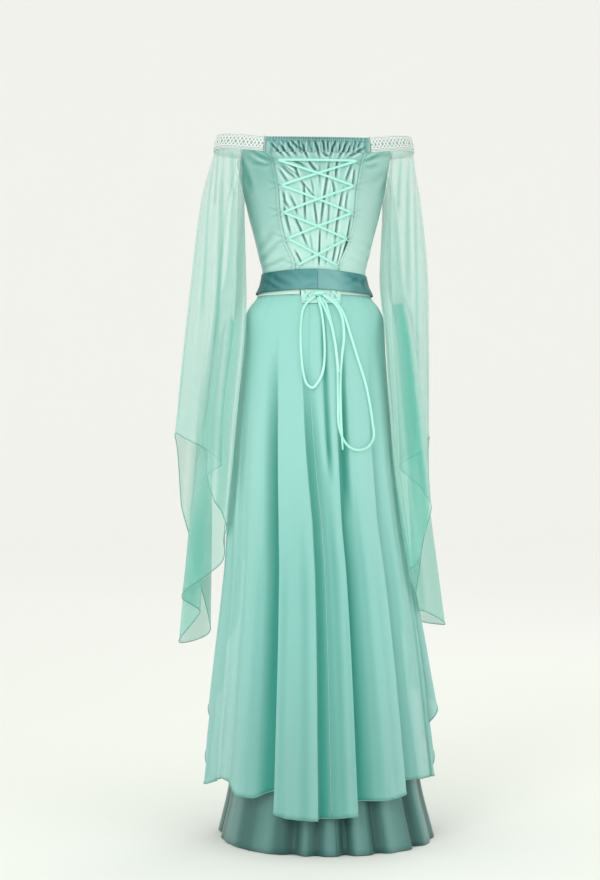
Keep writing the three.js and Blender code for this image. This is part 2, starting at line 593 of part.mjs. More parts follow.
const wrap = (list, i) => list[((i % list.length) + list.length) % list.length];
function alongFolds(folds, at, pick) {
  const i = Math.floor(at);
  const t = at - i;
  const [a, b, c, d] = [-1, 0, 1, 2].map((k) => pick(wrap(folds, i + k)));
  const m1 = (c - a) * 0.42;
  const m2 = (d - b) * 0.42;
  const t2 = t * t;
  const t3 = t2 * t;
  return (2 * t3 - 3 * t2 + 1) * b + (t3 - 2 * t2 + t) * m1 + (3 * t2 - 2 * t3) * c + (t3 - t2) * m2;
}

function sleeveTop(folds, at) {
  const i = Math.floor(at);
  const here = wrap(folds, i).top;
  const next = wrap(folds, i + 1).top;
  return here + ((next - here + 1) % 1) * (at - i);
}

function sleevePoint(folds, at, v, side) {
  const hemZ = alongFolds(folds, at, (f) => f.hemZ);
  const top = armholePoint(sleeveTop(folds, at));
  const z = top.z + (hemZ - top.z) * v;
  const pick = (column) => alongFolds(folds, at, (f) => f[column]);
  const path = (axis, start) => {
    const elbow = pick("elbow" + axis);
    const upper = [{ z: top.z, at: start }];
    if (top.z > CAP_Z + 25) upper.push({ z: CAP_Z, at: (start + elbow) / 2 });
    upper.push(
      { z: ELBOW_Z, at: elbow },
      { z: WRIST_Z, at: pick("wrist" + axis) },
    );
    if (hemZ < WRIST_Z - 30) upper.push({ z: hemZ, at: pick("hem" + axis) });
    return read(upper, "z", "at", z);
  };
  const point = new THREE.Vector3(path("Out", top.x), path("Y", top.y), z);
  return keepOff(point, side, v);
}

// Keeps a sleeve's cloth clear of the skirt and bodice beside it
const SLEEVE_CLEAR = 6;
function keepOff(point, side, v) {
  const drift = read(bodyRings, "z", "drift", point.z) * side;
  const x = point.x - drift;
  const radius = Math.hypot(x, point.y);
  const angle = Math.atan2(x, -point.y) / DEG;
  const signed = angle * side;
  const hem = read(overskirtHem, "angle", "z", signed);
  const wave = Math.max(0, read(overskirtHem, "angle", "wave", signed));
  const fall = clamp((WAIST_SEAM - point.z) / (WAIST_SEAM - hem), 0, 1);
  const need = bodyRadius(angle, point.z) + SLEEVE_CLEAR + wave * Math.pow(fall, 1.6);
  const push = Math.max(0, need - radius) * smooth(v * 6);
  point.x = drift + x * (1 + push / radius);
  point.y *= 1 + push / radius;
  point.x *= side;
  return point;
}

const sleeveRows = [0, 0.07, 0.2, 0.42, 0.64, 0.82, 1];
for (const [name, side, folds] of [["sleeve_left", -1, leftFolds], ["sleeve_right", 1, rightFolds]]) {
  const places = spread(0, folds.length, folds.length * 3).slice(0, -1);
  add(name, wall((u, v) => sleevePoint(folds, u, v, side), places, sleeveRows,
    -CHIFFON / 2, CHIFFON / 2, true), colours.sleeve, 0.6);
}

// A flat strip swept along points on the gown's back: width across, thickness outward
function strip(points, width, thick, sides = 4, pace = 2.4) {
  const curve = new THREE.CatmullRomCurve3(points.map((p) => p.clone()), false, "centripetal");
  const length = curve.getLength();
  const steps = clamp(Math.round(length / (width * pace)), 2, 80);
  const ring = sides === 4
    ? [[-1, -1], [1, -1], [1, 1], [-1, 1]]
    : spread(0, 1, sides).slice(0, -1).map((t) => {
      const a = t * 2 * Math.PI + Math.PI / sides;
      return [Math.cos(a), Math.sin(a)];
    });
  const positions = [];
  for (let i = 0; i <= steps; i += 1) {
    const p = curve.getPointAt(i / steps);
    const tangent = curve.getTangentAt(i / steps);
    const outward = new THREE.Vector3(p.x * 0.6, -Math.abs(p.y), 0).normalize();
    outward.addScaledVector(tangent, -outward.dot(tangent)).normalize();
    const across = tangent.clone().cross(outward).normalize();
    for (const [a, b] of ring) {
      positions.push(...p.clone().addScaledVector(across, (a * width) / 2)
        .addScaledVector(outward, (b * thick) / 2).toArray());
    }
  }
  const n = ring.length;
  const index = [];
  for (let i = 0; i < steps; i += 1) {
    for (let k = 0; k < n; k += 1) {
      const a = i * n + k;
      const b = i * n + ((k + 1) % n);
      index.push(a, b, b + n, a, b + n, a + n);
    }
  }
  for (let k = 1; k < n - 1; k += 1) {
    index.push(0, k + 1, k);
    index.push(steps * n, steps * n + k, steps * n + k + 1);
  }
  return solid(positions, index);
}

const onBack = (x, z, lift) => bodyPoint(backAngle(x, z), z, lift);

// Lacing: a bar at the top, then crosses from loop to loop down to the knot
const LACE_LIFT = 2.6;
const wasm = await Module();
wasm.setup();
function toManifold(geometry) {
  const plain = geometry.clone();
  for (const name of Object.keys(plain.attributes)) if (name !== "position") plain.deleteAttribute(name);
  const merged = mergeVertices(plain, 1e-4);
  return new wasm.Manifold(new wasm.Mesh({
    numProp: 3,
    vertProperties: new Float32Array(merged.attributes.position.array),
    triVerts: new Uint32Array(merged.index.array),
  }));
}
function fromManifold(body) {
  const mesh = body.getMesh();
  const geometry = new THREE.BufferGeometry();
  geometry.setAttribute("position",
    new THREE.Float32BufferAttribute(Array.from(mesh.vertProperties), 3));
  geometry.setIndex(Array.from(mesh.triVerts));
  return geometry;
}

function laceRun(from, to, crossLift) {
  const points = spread(0, 1, 4).map((t) => {
    const x = from.x + (to.x - from.x) * t;
    const z = from.z + (to.z - from.z) * t;
    const cross = crossLift * Math.exp(-Math.pow((t - 0.5) / 0.16, 2));
    return onBack(x, z, LACE_LIFT + cross);
  });
  return strip(points, RIBBON_WIDTH, RIBBON);
}
const runs = [];
const top = loopPairs[0];
runs.push(laceRun({ x: -top.half, z: top.z }, { x: top.half, z: top.z }, 0));
for (let i = 0; i < loopPairs.length - 1; i += 1) {
  const a = loopPairs[i];
  const b = loopPairs[i + 1];
  const over = i % 2 === 0 ? 1 : -1;
  runs.push(laceRun({ x: -a.half, z: a.z }, { x: b.half, z: b.z }, over > 0 ? 1.7 : 0));
  runs.push(laceRun({ x: a.half, z: a.z }, { x: -b.half, z: b.z }, over > 0 ? 0 : 1.7));
}
let lace = toManifold(runs[0]);
for (const run of runs.slice(1)) lace = lace.add(toManifold(run));
add("back_lacing", fromManifold(lace), colours.ribbon, 0.3);

// Loops on the panel edges, each arching over a turn of the lace
for (const pair of loopPairs) {
  for (const [label, side] of [["left", -1], ["right", 1]]) {
    const rise = LACE_LIFT + 1.9;
    const points = [
      onBack(side * (pair.half + 9), pair.z + 5, 1),
      onBack(side * (pair.half + 3), pair.z + 4.6, rise),
      onBack(side * (pair.half - 3), pair.z, rise + 0.3),
      onBack(side * (pair.half + 3), pair.z - 4.6, rise),
      onBack(side * (pair.half + 9), pair.z - 5, 1),
    ];
    add(`loop_${label}_${pair.name}`, strip(points, 1.6, 1.6, 5, 3.2), colours.insert);
  }
}

// The last cross lies on the insert's tab and ends at the knot
const tabCorner = { x: 34, z: -322 };
const tabRuns = [];
for (const side of [-1, 1]) {
  const corner = onBack(TAB_CENTRE + side * tabCorner.x, tabCorner.z, 5);
  tabRuns.push(strip([
    onBack(TAB_CENTRE + side * 20, -302.4, 4.8), onBack(TAB_CENTRE + side * 28, -311, 4.8), corner,
  ], RIBBON_WIDTH * 0.8, RIBBON));
  tabRuns.push(strip([
    corner, onBack(TAB_CENTRE + side * 20, -318, 4.9), onBack(knotAt.x + side * 4, -310.5, 5.2),
  ], RIBBON_WIDTH * 0.8, RIBBON));
}

// Knot with the crossed ends that meet in it
const knotBall = new THREE.SphereGeometry(1, 12, 8);
knotBall.scale(knotSize.across, knotSize.out, knotSize.up);
const knotCentre = onBack(knotAt.x, knotAt.z, knotAt.lift);
knotBall.translate(knotCentre.x, knotCentre.y, knotCentre.z);
let knot = toManifold(knotBall);
for (const run of tabRuns) knot = knot.add(toManifold(run));
add("bow_knot", fromManifold(knot), colours.ribbon, 0.3);

// Two points where a ribbon leaves the lower side of the knot, square to its surface
function knotExit({ x, out }) {
  const { across, up, out: thick } = knotSize;
  const drop = -up * Math.sqrt(1 - (x / across) ** 2 - (out / thick) ** 2);
  const normal = new THREE.Vector3(x / across ** 2, -out / thick ** 2, drop / up ** 2).normalize();
  const start = knotCentre.clone().add(new THREE.Vector3(x, -out, drop));
  const down = new THREE.Vector3(normal.x, 0.5 * normal.z, normal.z).normalize();
  start.addScaledVector(normal, SEAM);
  return [start.clone(), start.addScaledVector(down, 5)];
}
for (const [name, { leaves, returns, route }] of Object.entries(bowRoutes)) {
  const points = [...knotExit(leaves), ...route.map((p) => onBack(p.x, p.z, p.lift))];
  if (returns) points.push(...knotExit(returns).reverse());
  add(name, strip(points, RIBBON_WIDTH, RIBBON, 8), colours.ribbon, 0.3);
}

export default group;
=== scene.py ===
# Looks of an off-the-shoulder gown, laced at the back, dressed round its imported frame.
# Shape tables are in millimetres and degrees from the centre back, as in the part's source.
import math
import bpy
import numpy as np
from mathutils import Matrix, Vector


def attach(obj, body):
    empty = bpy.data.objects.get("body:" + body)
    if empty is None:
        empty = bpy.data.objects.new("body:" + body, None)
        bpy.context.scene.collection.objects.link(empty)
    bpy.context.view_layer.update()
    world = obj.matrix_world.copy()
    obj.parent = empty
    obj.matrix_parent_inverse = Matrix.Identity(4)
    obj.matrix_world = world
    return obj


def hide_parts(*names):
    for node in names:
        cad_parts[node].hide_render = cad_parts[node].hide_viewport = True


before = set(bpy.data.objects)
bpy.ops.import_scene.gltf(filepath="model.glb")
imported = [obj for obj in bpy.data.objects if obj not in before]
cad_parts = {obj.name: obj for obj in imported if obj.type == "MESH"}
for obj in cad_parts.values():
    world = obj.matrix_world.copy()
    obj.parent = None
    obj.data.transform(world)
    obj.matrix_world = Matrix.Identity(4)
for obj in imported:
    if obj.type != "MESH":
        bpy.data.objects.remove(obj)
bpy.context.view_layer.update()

mm = 0.001
scene = bpy.context.scene
print("frame loaded:", len(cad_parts), "nodes")


def rows(names, *values):  # a table with named columns
    return [dict(zip(names.split(), line)) for line in values]


hands = (("left", -1), ("right", 1))  # the wearer's left is at -x


# Camera: a plain studio view of the back, turned a little to the wearer's left
camera = {"turn": 4.5, "distance": 3.6, "height": -0.594, "aside": -0.028,
          "picture": (600, 880), "focal": 1800}  # focal length in pixels of the picture
turn = math.radians(camera["turn"])
cameraData = bpy.data.cameras.new("studioCamera")
cameraData.sensor_width = 36
cameraData.lens = camera["focal"] / camera["picture"][1] * cameraData.sensor_width
cameraObject = bpy.data.objects.new("studioCamera", cameraData)
bpy.context.collection.objects.link(cameraObject)
cameraObject.location = (
    -camera["distance"] * math.sin(turn) + camera["aside"] * math.cos(turn),
    -camera["distance"] * math.cos(turn) - camera["aside"] * math.sin(turn),
    camera["height"])
cameraObject.rotation_euler = (math.radians(90), 0, -turn)
scene.camera = cameraObject
print("camera placed")


# Cubic between two values with given slopes at its ends, for t from 0 to 1
def cubic(t, first, last, slopeFirst, slopeLast, span=1):
    t2, t3 = t * t, t * t * t
    return ((2 * t3 - 3 * t2 + 1) * first + (t3 - 2 * t2 + t) * span * slopeFirst
            + (3 * t2 - 2 * t3) * last + (t3 - t2) * span * slopeLast)


# Smooth line through a table's column, for arrays of places
def smoothLine(places, values):
    places, values = np.array(places, float), np.array(values, float)
    steps = np.diff(values) / np.diff(places)
    both = steps[:-1] * steps[1:]
    total = np.where(both > 0, steps[:-1] + steps[1:], 1)
    slopes = np.concatenate([steps[:1], np.where(both > 0, 2 * both / total, 0), steps[-1:]])

    def at(where):
        where = np.clip(where, places[0], places[-1])
        i = np.clip(np.searchsorted(places, where, side="right") - 1, 0, len(places) - 2)
        span = places[i + 1] - places[i]
        t = (where - places[i]) / span
        return cubic(t, values[i], values[i + 1], slopes[i], slopes[i + 1], span)
    return at


def column(table, key, name):
    ordered = sorted(table, key=lambda row: row[key])
    return smoothLine([row[key] for row in ordered], [row[name] for row in ordered])


def profile(names, *values):  # a table of two columns as one smooth line
    return column(rows(names, *values), *names.split())


def smooth(t):
    c = np.clip(t, 0, 1)
    return c * c * (3 - 2 * c)


def below(z, start, over):  # 0 at a height and 1 so many millimetres below it
    return (start - z) / over


def hump(away, half=1):  # a soft bump, 1 in its middle
    return np.exp(-(away / half) ** 2)


# Outer surface of the gown's body: half width, back and front depth, roundness, drift
bodyRings = rows(
    "z side back front power drift",
    (30, 191, 75, 88, 2.8, 0), (18, 193, 76, 89, 2.8, 0), (-18, 200, 80, 96, 2.8, 0),
    (-50, 170, 83, 108, 2.6, 0), (-85, 149, 87, 115, 2.4, 0), (-118, 137.5, 88, 116, 2.3, 0),
    (-150, 130, 87, 108, 2.25, 0), (-190, 119.5, 84, 96, 2.2, 0), (-230, 110, 80, 87, 2.2, 0),
    (-262, 103, 79, 82, 2.2, 0), (-284, 106, 82, 84, 2.2, 0), (-309, 114, 87, 89, 2.2, 0),
    (-332, 131, 97, 98, 2.2, 0), (-354, 140, 103, 103, 2.2, 0), (-420, 143.5, 116, 112, 2.2, 0),
    (-550, 154, 135, 127, 2.2, 0), (-738, 173, 160, 150, 2.2, 3), (-860, 184, 176, 165, 2.2, 9),
    (-1052, 204, 201, 188, 2.2, 13), (-1176, 216, 217, 203, 2.2, 14),
    (-1300, 228, 232, 217, 2.2, 15), (-1400, 236, 243, 228, 2.2, 15))
body = {name: column(bodyRings, "z", name) for name in ("side", "back", "front", "power", "drift")}


def bodyRadius(angle, z):
    a = np.radians(angle)
    depth = np.where(np.cos(a) > 0, body["back"](z), body["front"](z))
    power = body["power"](z)
    return ((np.abs(np.sin(a)) / body["side"](z)) ** power
            + (np.abs(np.cos(a)) / depth) ** power) ** (-1 / power)


def bodyPoint(angle, z, lift=0.0):
    angle, z, lift = np.broadcast_arrays(
        np.asarray(angle, float), np.asarray(z, float), np.asarray(lift, float))
    a = np.radians(angle)
    r = bodyRadius(angle, z) + lift
    return np.stack([body["drift"](z) + r * np.sin(a), -r * np.cos(a), z], -1)


def backAngle(x, z):  # angle at which the back surface has a given x
    x, z = np.broadcast_arrays(np.asarray(x, float), np.asarray(z, float))
    low, high = np.full(x.shape, -89.0), np.full(x.shape, 89.0)
    for _ in range(40):
        middle = (low + high) / 2
        under = bodyPoint(middle, z)[..., 0] < x
        low, high = np.where(under, middle, low), np.where(under, high, middle)
    return (low + high) / 2


def onBack(x, z, lift):
    return bodyPoint(backAngle(x, z), z, lift)


# Driving sizes, as in the part's source, with thinner walls of the scene's own
cut = {"seam": 0.35, "trimTop": 10.5, "trimHeight": 30.5, "backDrop": 10, "frontDrop": 5,
       "casingHalf": 102, "armpit": -118, "beltTop": -259, "beltHeight": 40, "bodiceEnd": -284,
       "waistSeam": -309, "tabEnd": -327, "underskirtHem": -1376, "satin": 0.9, "chiffon": 0.5,
       "braid": 1.2, "ribbonWidth": 4.6, "ribbon": 0.5}


def neckDrop(angle):
    away = np.abs((np.asarray(angle, float) + 540) % 360 - 180)
    return cut["backDrop"] * smooth((80 - away) / 30) + cut["frontDrop"] * smooth((away - 105) / 40)


def trimTop(angle):
    return cut["trimTop"] - neckDrop(angle)


def trimEnd(angle):
    return trimTop(angle) - cut["trimHeight"]


# Distance in millimetres from places (x, z) to a line drawn through points, and how far along
def nearLine(x, z, line):
    best, along, total = np.full(x.shape, 1e9), np.zeros(x.shape), 0.0
    for (x0, z0), (x1, z1) in zip(line[:-1], line[1:]):
        dx, dz = x1 - x0, z1 - z0
        length = math.hypot(dx, dz)
        t = np.clip(((x - x0) * dx + (z - z0) * dz) / length ** 2, 0, 1)
        away = np.hypot(x - x0 - t * dx, z - z0 - t * dz)
        closer = away < best
        best = np.where(closer, away, best)
        along = np.where(closer, total + t * length, along)
        total += length
    return best, along / total


creaseShape = {"endShare": 0.25, "ridge": 0.42, "ridgeAt": 1.9}


# Creases, given one by one. Each row: half width, depth, then x and z of the points along it
def creaseRows(*values):
    return [{"wide": v[0], "deep": v[1], "line": list(zip(v[2::2], v[3::2]))} for v in values]


def creaseLift(x, z, creases):  # a trough with soft ridges beside it, fading at its ends
    lift = np.zeros(np.broadcast(x, z).shape)
    x, z = np.broadcast_arrays(x, z)
    for crease in creases:
        wide, ends = crease["wide"], creaseShape["endShare"]
        away, along = nearLine(x, z, crease["line"])
        fade = ends + (1 - ends) * smooth(along * 4) * smooth((1 - along) * 3.2)
        ridge = creaseShape["ridge"] * hump(away - creaseShape["ridgeAt"] * wide, wide)
        lift -= crease["deep"] * (hump(away, wide) - ridge) * fade
    return lift


def centreLine(points, count):  # centripetal spline through points, evenly spaced
    p = np.array(points, float)
    p = np.concatenate([[2 * p[0] - p[1]], p, [2 * p[-1] - p[-2]]])
    knots = np.concatenate([[0], np.cumsum(np.linalg.norm(np.diff(p, axis=0), axis=1) ** 0.5)])
    fine = []
    for i in range(1, len(p) - 2):
        t0, t1, t2, t3 = knots[i - 1:i + 3]
        t = np.linspace(t1, t2, 40, endpoint=i == len(p) - 3)[:, None]

        def blend(first, last, start, end):
            return (end - t) / (end - start) * first + (t - start) / (end - start) * last
        a1, a2, a3 = (blend(p[k - 1], p[k], knots[k - 1], knots[k]) for k in (i, i + 1, i + 2))
        fine.append(blend(blend(a1, a2, t0, t2), blend(a2, a3, t1, t3), t1, t2))
    fine = np.concatenate(fine)
    far = np.concatenate([[0], np.cumsum(np.linalg.norm(np.diff(fine, axis=0), axis=1))])
    places = np.linspace(0, far[-1], count)
    return np.stack([np.interp(places, far, fine[:, k]) for k in range(3)], -1), far[-1]


def unit(v):
    return v / np.maximum(np.linalg.norm(v, axis=-1, keepdims=True), 1e-12)


flatSection = [(-1, -0.3), (-0.9, -1), (-0.3, -1), (0.3, -1), (0.9, -1), (1, -0.3),
               (1, 0.3), (0.9, 1), (0.3, 1), (-0.3, 1), (-0.9, 1), (-1, 0.3)]  # soft edges
roundSection = [(math.cos(a * math.pi / 4), math.sin(a * math.pi / 4)) for a in range(8)]


# Rings of a section carried along a line: its width across, its thickness away from the body.
# A lean under 1 turns the thickness towards the gown's back
def sweep(line, lean, section, width, thick, twist=None):
    tangent = unit(np.gradient(line, axis=0))
    outward = unit(np.stack([line[:, 0] * lean, line[:, 1], np.zeros(len(line))], -1))
    outward = unit(outward - (outward * tangent).sum(1, keepdims=True) * tangent)
    across = np.cross(tangent, outward)
    if twist is not None:
        a = np.radians(twist(np.linspace(0, 1, len(line))))[:, None]
        across, outward = (across * np.cos(a) + outward * np.sin(a),
                           outward * np.cos(a) - across * np.sin(a))
    section = np.array(section, float)
    return (line[:, None] + across[:, None] * section[None, :, :1] * width / 2
            + outward[:, None] * section[None, :, 1:] * thick / 2)


def ribbonRings(points, width, thick, pace, twist=None, section=flatSection):
    length = centreLine(points, 2)[1]
    line = centreLine(points, max(6, int(length / pace)))[0]
    return sweep(line, 0.6, section, width, thick, twist), length, line


def edgeTube(points, radius):  # rolled hem along a line of points
    return sweep(points, 1, roundSection, 2 * radius, 2 * radius)


def walked(block, axis):  # metres along a block of points, from its first row or column
    steps = np.linalg.norm(np.diff(block, axis=axis), axis=2).mean(1 - axis)
    return np.concatenate([[0], np.cumsum(steps)]) * mm


# Mesh from a block of points (rows x columns), with a map in metres that follows the cloth
def addSurface(mesh, points, closedAcross=False, shade=0.0, capEnds=False):
    n, m = points.shape[:2]
    start = len(mesh["points"])
    mesh["points"].extend(points.reshape(-1, 3).tolist())
    columns = list(range(m)) + [0] * closedAcross
    across, down = walked(points[:, columns], 1), walked(points, 0)
    for i in range(n - 1):
        for j, k in zip(columns[:-1], columns[1:]):
            mesh["faces"].append([start + i * m + j, start + (i + 1) * m + j,
                                  start + (i + 1) * m + k, start + i * m + k])
            mesh["map"].append([(across[j], down[i]), (across[j], down[i + 1]),
                                (across[j + 1], down[i + 1]), (across[j + 1], down[i])])
    if capEnds:
        for i, order in ((0, range(m)), (n - 1, range(m - 1, -1, -1))):
            mesh["faces"].append([start + i * m + j for j in order])
            mesh["map"].append([(across[j], down[i]) for j in order])
    mesh["shade"].extend(np.broadcast_to(shade, (n, m)).reshape(-1).tolist())


def newMesh():
    return {"points": [], "faces": [], "map": [], "shade": []}


def makeObject(name, mesh, material, flip=False):
    order = -1 if flip else 1
    data = bpy.data.meshes.new(name)
    data.from_pydata((np.array(mesh["points"]) * mm).tolist(), [],
                     [face[::order] for face in mesh["faces"]])
    places = [place for face in mesh["map"] for place in face[::order]]
    layer = data.uv_layers.new(name="clothMap")
    layer.data.foreach_set("uv", np.array(places, np.float32).reshape(-1))
    # each point's painted shade: above 0 darker, below 0 a painted highlight
    paintedShade = data.attributes.new("paintedShade", "FLOAT", "POINT")
    paintedShade.data.foreach_set("value", np.array(mesh["shade"], np.float32))
    data.polygons.foreach_set("use_smooth", [True] * len(data.polygons))
    data.materials.append(material)
    data.update()
    piece = bpy.data.objects.new(name, data)
    bpy.context.collection.objects.link(piece)
    return piece


def applyModifiers(piece):
    bpy.ops.object.select_all(action="DESELECT")
    piece.select_set(True)
    bpy.context.view_layer.objects.active = piece
    for modifier in list(piece.modifiers):
        bpy.ops.object.modifier_apply(modifier=modifier.name)


def finish(piece, node):
    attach(piece, "root")
    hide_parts(node)
    return piece


# A cloth wall over a block of points; shade is 1 in folds and -1 on ridges, side -1 turns faces
def clothPiece(name, points, shade, material, slotName, node, side=1, thick=cut["satin"],
               offset=-1.0, closed=False):
    mesh = newMesh()
    addSurface(mesh, points, closed, np.clip(shade, -1, 1))
    piece = makeObject(name, mesh, material, flip=side < 0)
    shell = piece.modifiers.new("shell", "SOLIDIFY")
    shell.thickness = thick * mm
    shell.offset = offset
    shell.use_even_offset = False
    applyModifiers(piece)
    return finish(piece, node)


def tubePiece(name, tubes, material, node, tone=0.0):  # closed tubes in one piece, all with one painted shade
    mesh = newMesh()
    for rings in tubes:
        addSurface(mesh, rings, True, tone, capEnds=True)
    return finish(makeObject(name, mesh, material), node)


def outwardNormal(points):  # of a block of points, one normal for each
    down, across = np.gradient(points, axis=0), np.gradient(points, axis=1)
    return unit(np.cross(down, across))


# Materials: a socket takes a link, a colour code or a plain value
def srgb(code):  # hexadecimal colour as linear light
    parts = [int(code[i:i + 2], 16) / 255 for i in (0, 2, 4)]
    return tuple(p / 12.92 if p <= 0.04045 else ((p + 0.055) / 1.055) ** 2.4 for p in parts)


def feed(tree, socket, value):
    if isinstance(value, bpy.types.NodeSocket):
        tree.links.new(value, socket)
    else:
        socket.default_value = (*srgb(value), 1) if isinstance(value, str) else value


def addNode(tree, kind, **inputs):
    node = tree.nodes.new("ShaderNode" + kind)
    for name, value in inputs.items():
        feed(tree, node.inputs[name], value)
    return node


def newMaterial(name, roughness, sheen, alpha, specular):
    material = bpy.data.materials.new(name)
    material.use_nodes = True
    shader = material.node_tree.nodes["Principled BSDF"]
    for socket, value in (("Roughness", roughness), ("Sheen Weight", sheen),
                          ("Sheen Roughness", 0.5), ("Sheen Tint", (0.8, 1, 0.95, 1)),
                          ("Alpha", alpha), ("Specular IOR Level", specular)):
        shader.inputs[socket].default_value = value
    return material, material.node_tree, shader


def ramp(tree, stops, source):
    node = addNode(tree, "ValToRGB", Fac=source)
    node.color_ramp.interpolation = "EASE"
    elements = node.color_ramp.elements
    while len(elements) < len(stops):
        elements.new(0.5)
    for element, (place, code) in zip(elements, stops):
        element.position = place
        element.color = (*srgb(code), 1)
    return node.outputs["Color"]


def arithmetic(tree, operation, *values):
    node = addNode(tree, "Math")
    node.operation = operation
    for socket, value in zip(node.inputs, values):
        feed(tree, socket, value)
    return node.outputs["Value"]


def mapRange(tree, source, low, high, toLow, toHigh):
    sizes = {"From Min": low, "From Max": high, "To Min": toLow, "To Max": toHigh}
    return addNode(tree, "MapRange", Value=source, **sizes).outputs["Result"]


def mixColour(tree, share, first, second):
    node = addNode(tree, "Mix")
    node.data_type = "RGBA"
    for name, value in (("Factor", share), ("A", first), ("B", second)):
        feed(tree, node.inputs[name], value)
    return node.outputs["Result"]


def cloud(tree, vector, scale, stretch=(1, 1, 1), detail=3.0, rough=0.5):
    mapping = addNode(tree, "Mapping", Scale=stretch, Vector=vector)
    return addNode(tree, "TexNoise", Scale=scale, Detail=detail, Roughness=rough,
                   Vector=mapping.outputs["Vector"]).outputs["Fac"]


def threads(tree, pitch):  # plain weave, its threads along the cloth's own map
    cloth = addNode(tree, "UVMap")
    cloth.uv_map = "clothMap"
    waves = []
    for direction in ("X", "Y"):
        wave = addNode(tree, "TexWave", Scale=0.314 / pitch, Distortion=0.6,
                       Vector=cloth.outputs["UV"])
        wave.inputs["Detail Scale"].default_value = 2.0
        wave.wave_type = "BANDS"
        wave.bands_direction = direction
        waves.append(wave.outputs["Fac"])
    return arithmetic(tree, "MULTIPLY", *waves), cloth.outputs["UV"]


def bump(tree, strength, height, distance, **under):  # under: the bump it adds to
    return addNode(tree, "Bump", Strength=strength, Height=height, Distance=distance,
                   **under).outputs["Normal"]


# One cloth finish: colour by height, painted shade in the folds and painted highlights on the ridges, soft
# unevenness, weave and sheen
usualFinish = {"sheen": 0.2, "alpha": 1.0, "specular": 0.4, "drift": 0.12, "paintedShadeShare": 0.7,
               "paintedHighlightShare": 0.25, "streak": 0.12, "weaveShare": 0.08, "waviness": 0.004,
               "weaveDepth": 0.00012, "cloudScale": 3.0, "streakScale": 60.0}


def clothMaterial(name, finishing):
    f = {**usualFinish, **finishing}
    material, tree, shader = newMaterial(name, f["roughness"], f["sheen"], f["alpha"], f["specular"])
    place = addNode(tree, "TexCoord").outputs["Object"]
    height = addNode(tree, "SeparateXYZ", Vector=place).outputs["Z"]
    share = mapRange(tree, height, f["top"], f["bottom"], 0.0, 1.0)  # 0 at the top, 1 below
    wavy = cloud(tree, place, f["cloudScale"], (1, 1, 0.35))
    colour = ramp(tree, f["colours"], arithmetic(tree, "MULTIPLY_ADD", wavy, f["drift"], share))
    paintedShade = addNode(tree, "Attribute")
    paintedShade.attribute_name = "paintedShade"
    weave, uv = threads(tree, f["pitch"])
    streak = cloud(tree, uv, f["streakScale"], (1, 0.08, 1), 4.0, 0.65)
    # painted shade from the mesh's attribute darkens the folds and painted highlights lighten the ridges;
    # streaks and weave are the cloth's own
    for source, low, high, toLow, toHigh, tint in (
            (paintedShade.outputs["Fac"], 0.0, 1.0, 0.0, f["paintedShadeShare"], "shadeAndWeaveColour"),
            (paintedShade.outputs["Fac"], -1.0, 0.0, f["paintedHighlightShare"], 0.0, "paintedHighlightColour"),
            (streak, 0.3, 0.7, 0.0, f["streak"], "streakColour"),
            (weave, 0.0, 1.0, f["weaveShare"], 0.0, "shadeAndWeaveColour")):
        colour = mixColour(tree, mapRange(tree, source, low, high, toLow, toHigh), colour, f[tint])
    rough = mapRange(tree, streak, 0.3, 0.7, f["roughness"] - 0.05, f["roughness"] + 0.07)
    soft = bump(tree, 0.35, wavy, f["waviness"])
    for socket, value in (("Base Color", colour), ("Roughness", rough),
                          ("Normal", bump(tree, 0.45, weave, f["weaveDepth"], Normal=soft))):
        feed(tree, shader.inputs[socket], value)
    return material


# Bow: four free ribbon ends below the knot, along the part's own routes
knot = {"across": 11, "up": 7, "out": 4.2, "x": 2, "z": -308, "lift": 8.6}
ribbonFinish = {
    "top": -0.28, "bottom": -0.62, "colours": [(0.0, "a8f0e1"), (0.5, "bff9ec"), (1.0, "aef3e5")],
    "shadeAndWeaveColour": "5fc2af", "paintedHighlightColour": "f4fffd", "streakColour": "e6fffa", "roughness": 0.3,
    "sheen": 0.15, "specular": 0.6, "pitch": 0.0005, "streak": 0.25, "waviness": 0.001}
ribbonCloth = clothMaterial("paleRibbonSatin", ribbonFinish)
bowEnds = {  # places on the knot, degrees of twist at shares of the way, and x, z and lift
    "bow_loop_left": {
        "leaves": (-8.4, 0.3), "returns": (-1.7, 0.3),
        "turned": [(0, 0), (0.2, 38), (0.42, 30), (0.55, 8), (0.7, 34), (0.9, 30), (1, 0)],
        "route": [(-18, -324, 7.2), (-28, -338, 4.6), (-33, -362, 2.6), (-35, -390, 2.4), (-34, -430, 2.4),
                  (-31, -462, 2.4), (-24, -486, 2.4), (-14, -493, 2.4), (-3, -482, 2.4), (6, -462, 2.4),
                  (10, -430, 2.4), (10, -400, 2.4), (8, -365, 3), (4, -338, 6.4)]},
    "bow_loop_right": {
        "leaves": (4.9, 0.3), "returns": (10, 0.3),
        "turned": [(0, 0), (0.15, 20), (0.38, -30), (0.5, -12), (0.62, 42), (0.8, 22), (1, 0)],
        "route": [(14, -331, 7), (21, -357, 6), (27, -385, 5), (31, -420, 4.4), (34, -460, 4.4),
                  (34, -517, 4.4), (36, -573, 4.4), (50, -603, 4.4), (68, -613, 4.4), (90, -608, 4.4),
                  (103, -590, 4.4), (101, -555, 4.4), (90, -491, 4.4), (74, -437, 4.4), (60, -390, 4.6),
                  (46, -348, 6.4), (30, -323, 7.6)]},
    "tail_left": {
        "leaves": (0.5, 2.8), "returns": None, "turned": [(0, 0), (0.4, 14), (0.7, -22), (1, -48)],
        "route": [(12, -342, 9.6), (22, -370, 7.4), (29, -405, 6.5), (33, -440, 6.4), (35, -463, 6.4)]},
    "tail_right": {
        "leaves": (7, 2.8), "returns": None,
        "turned": [(0, 0), (0.3, -16), (0.55, 30), (0.8, -10), (1, 35)],
        "route": [(30, -331, 10.6), (42, -354, 8.4), (46, -390, 7), (41, -432, 8.4), (38, -480, 8.2),
                  (38, -540, 6.6), (41, -613, 6.6)]}}
knotCentre = onBack(knot["x"], knot["z"], knot["lift"])


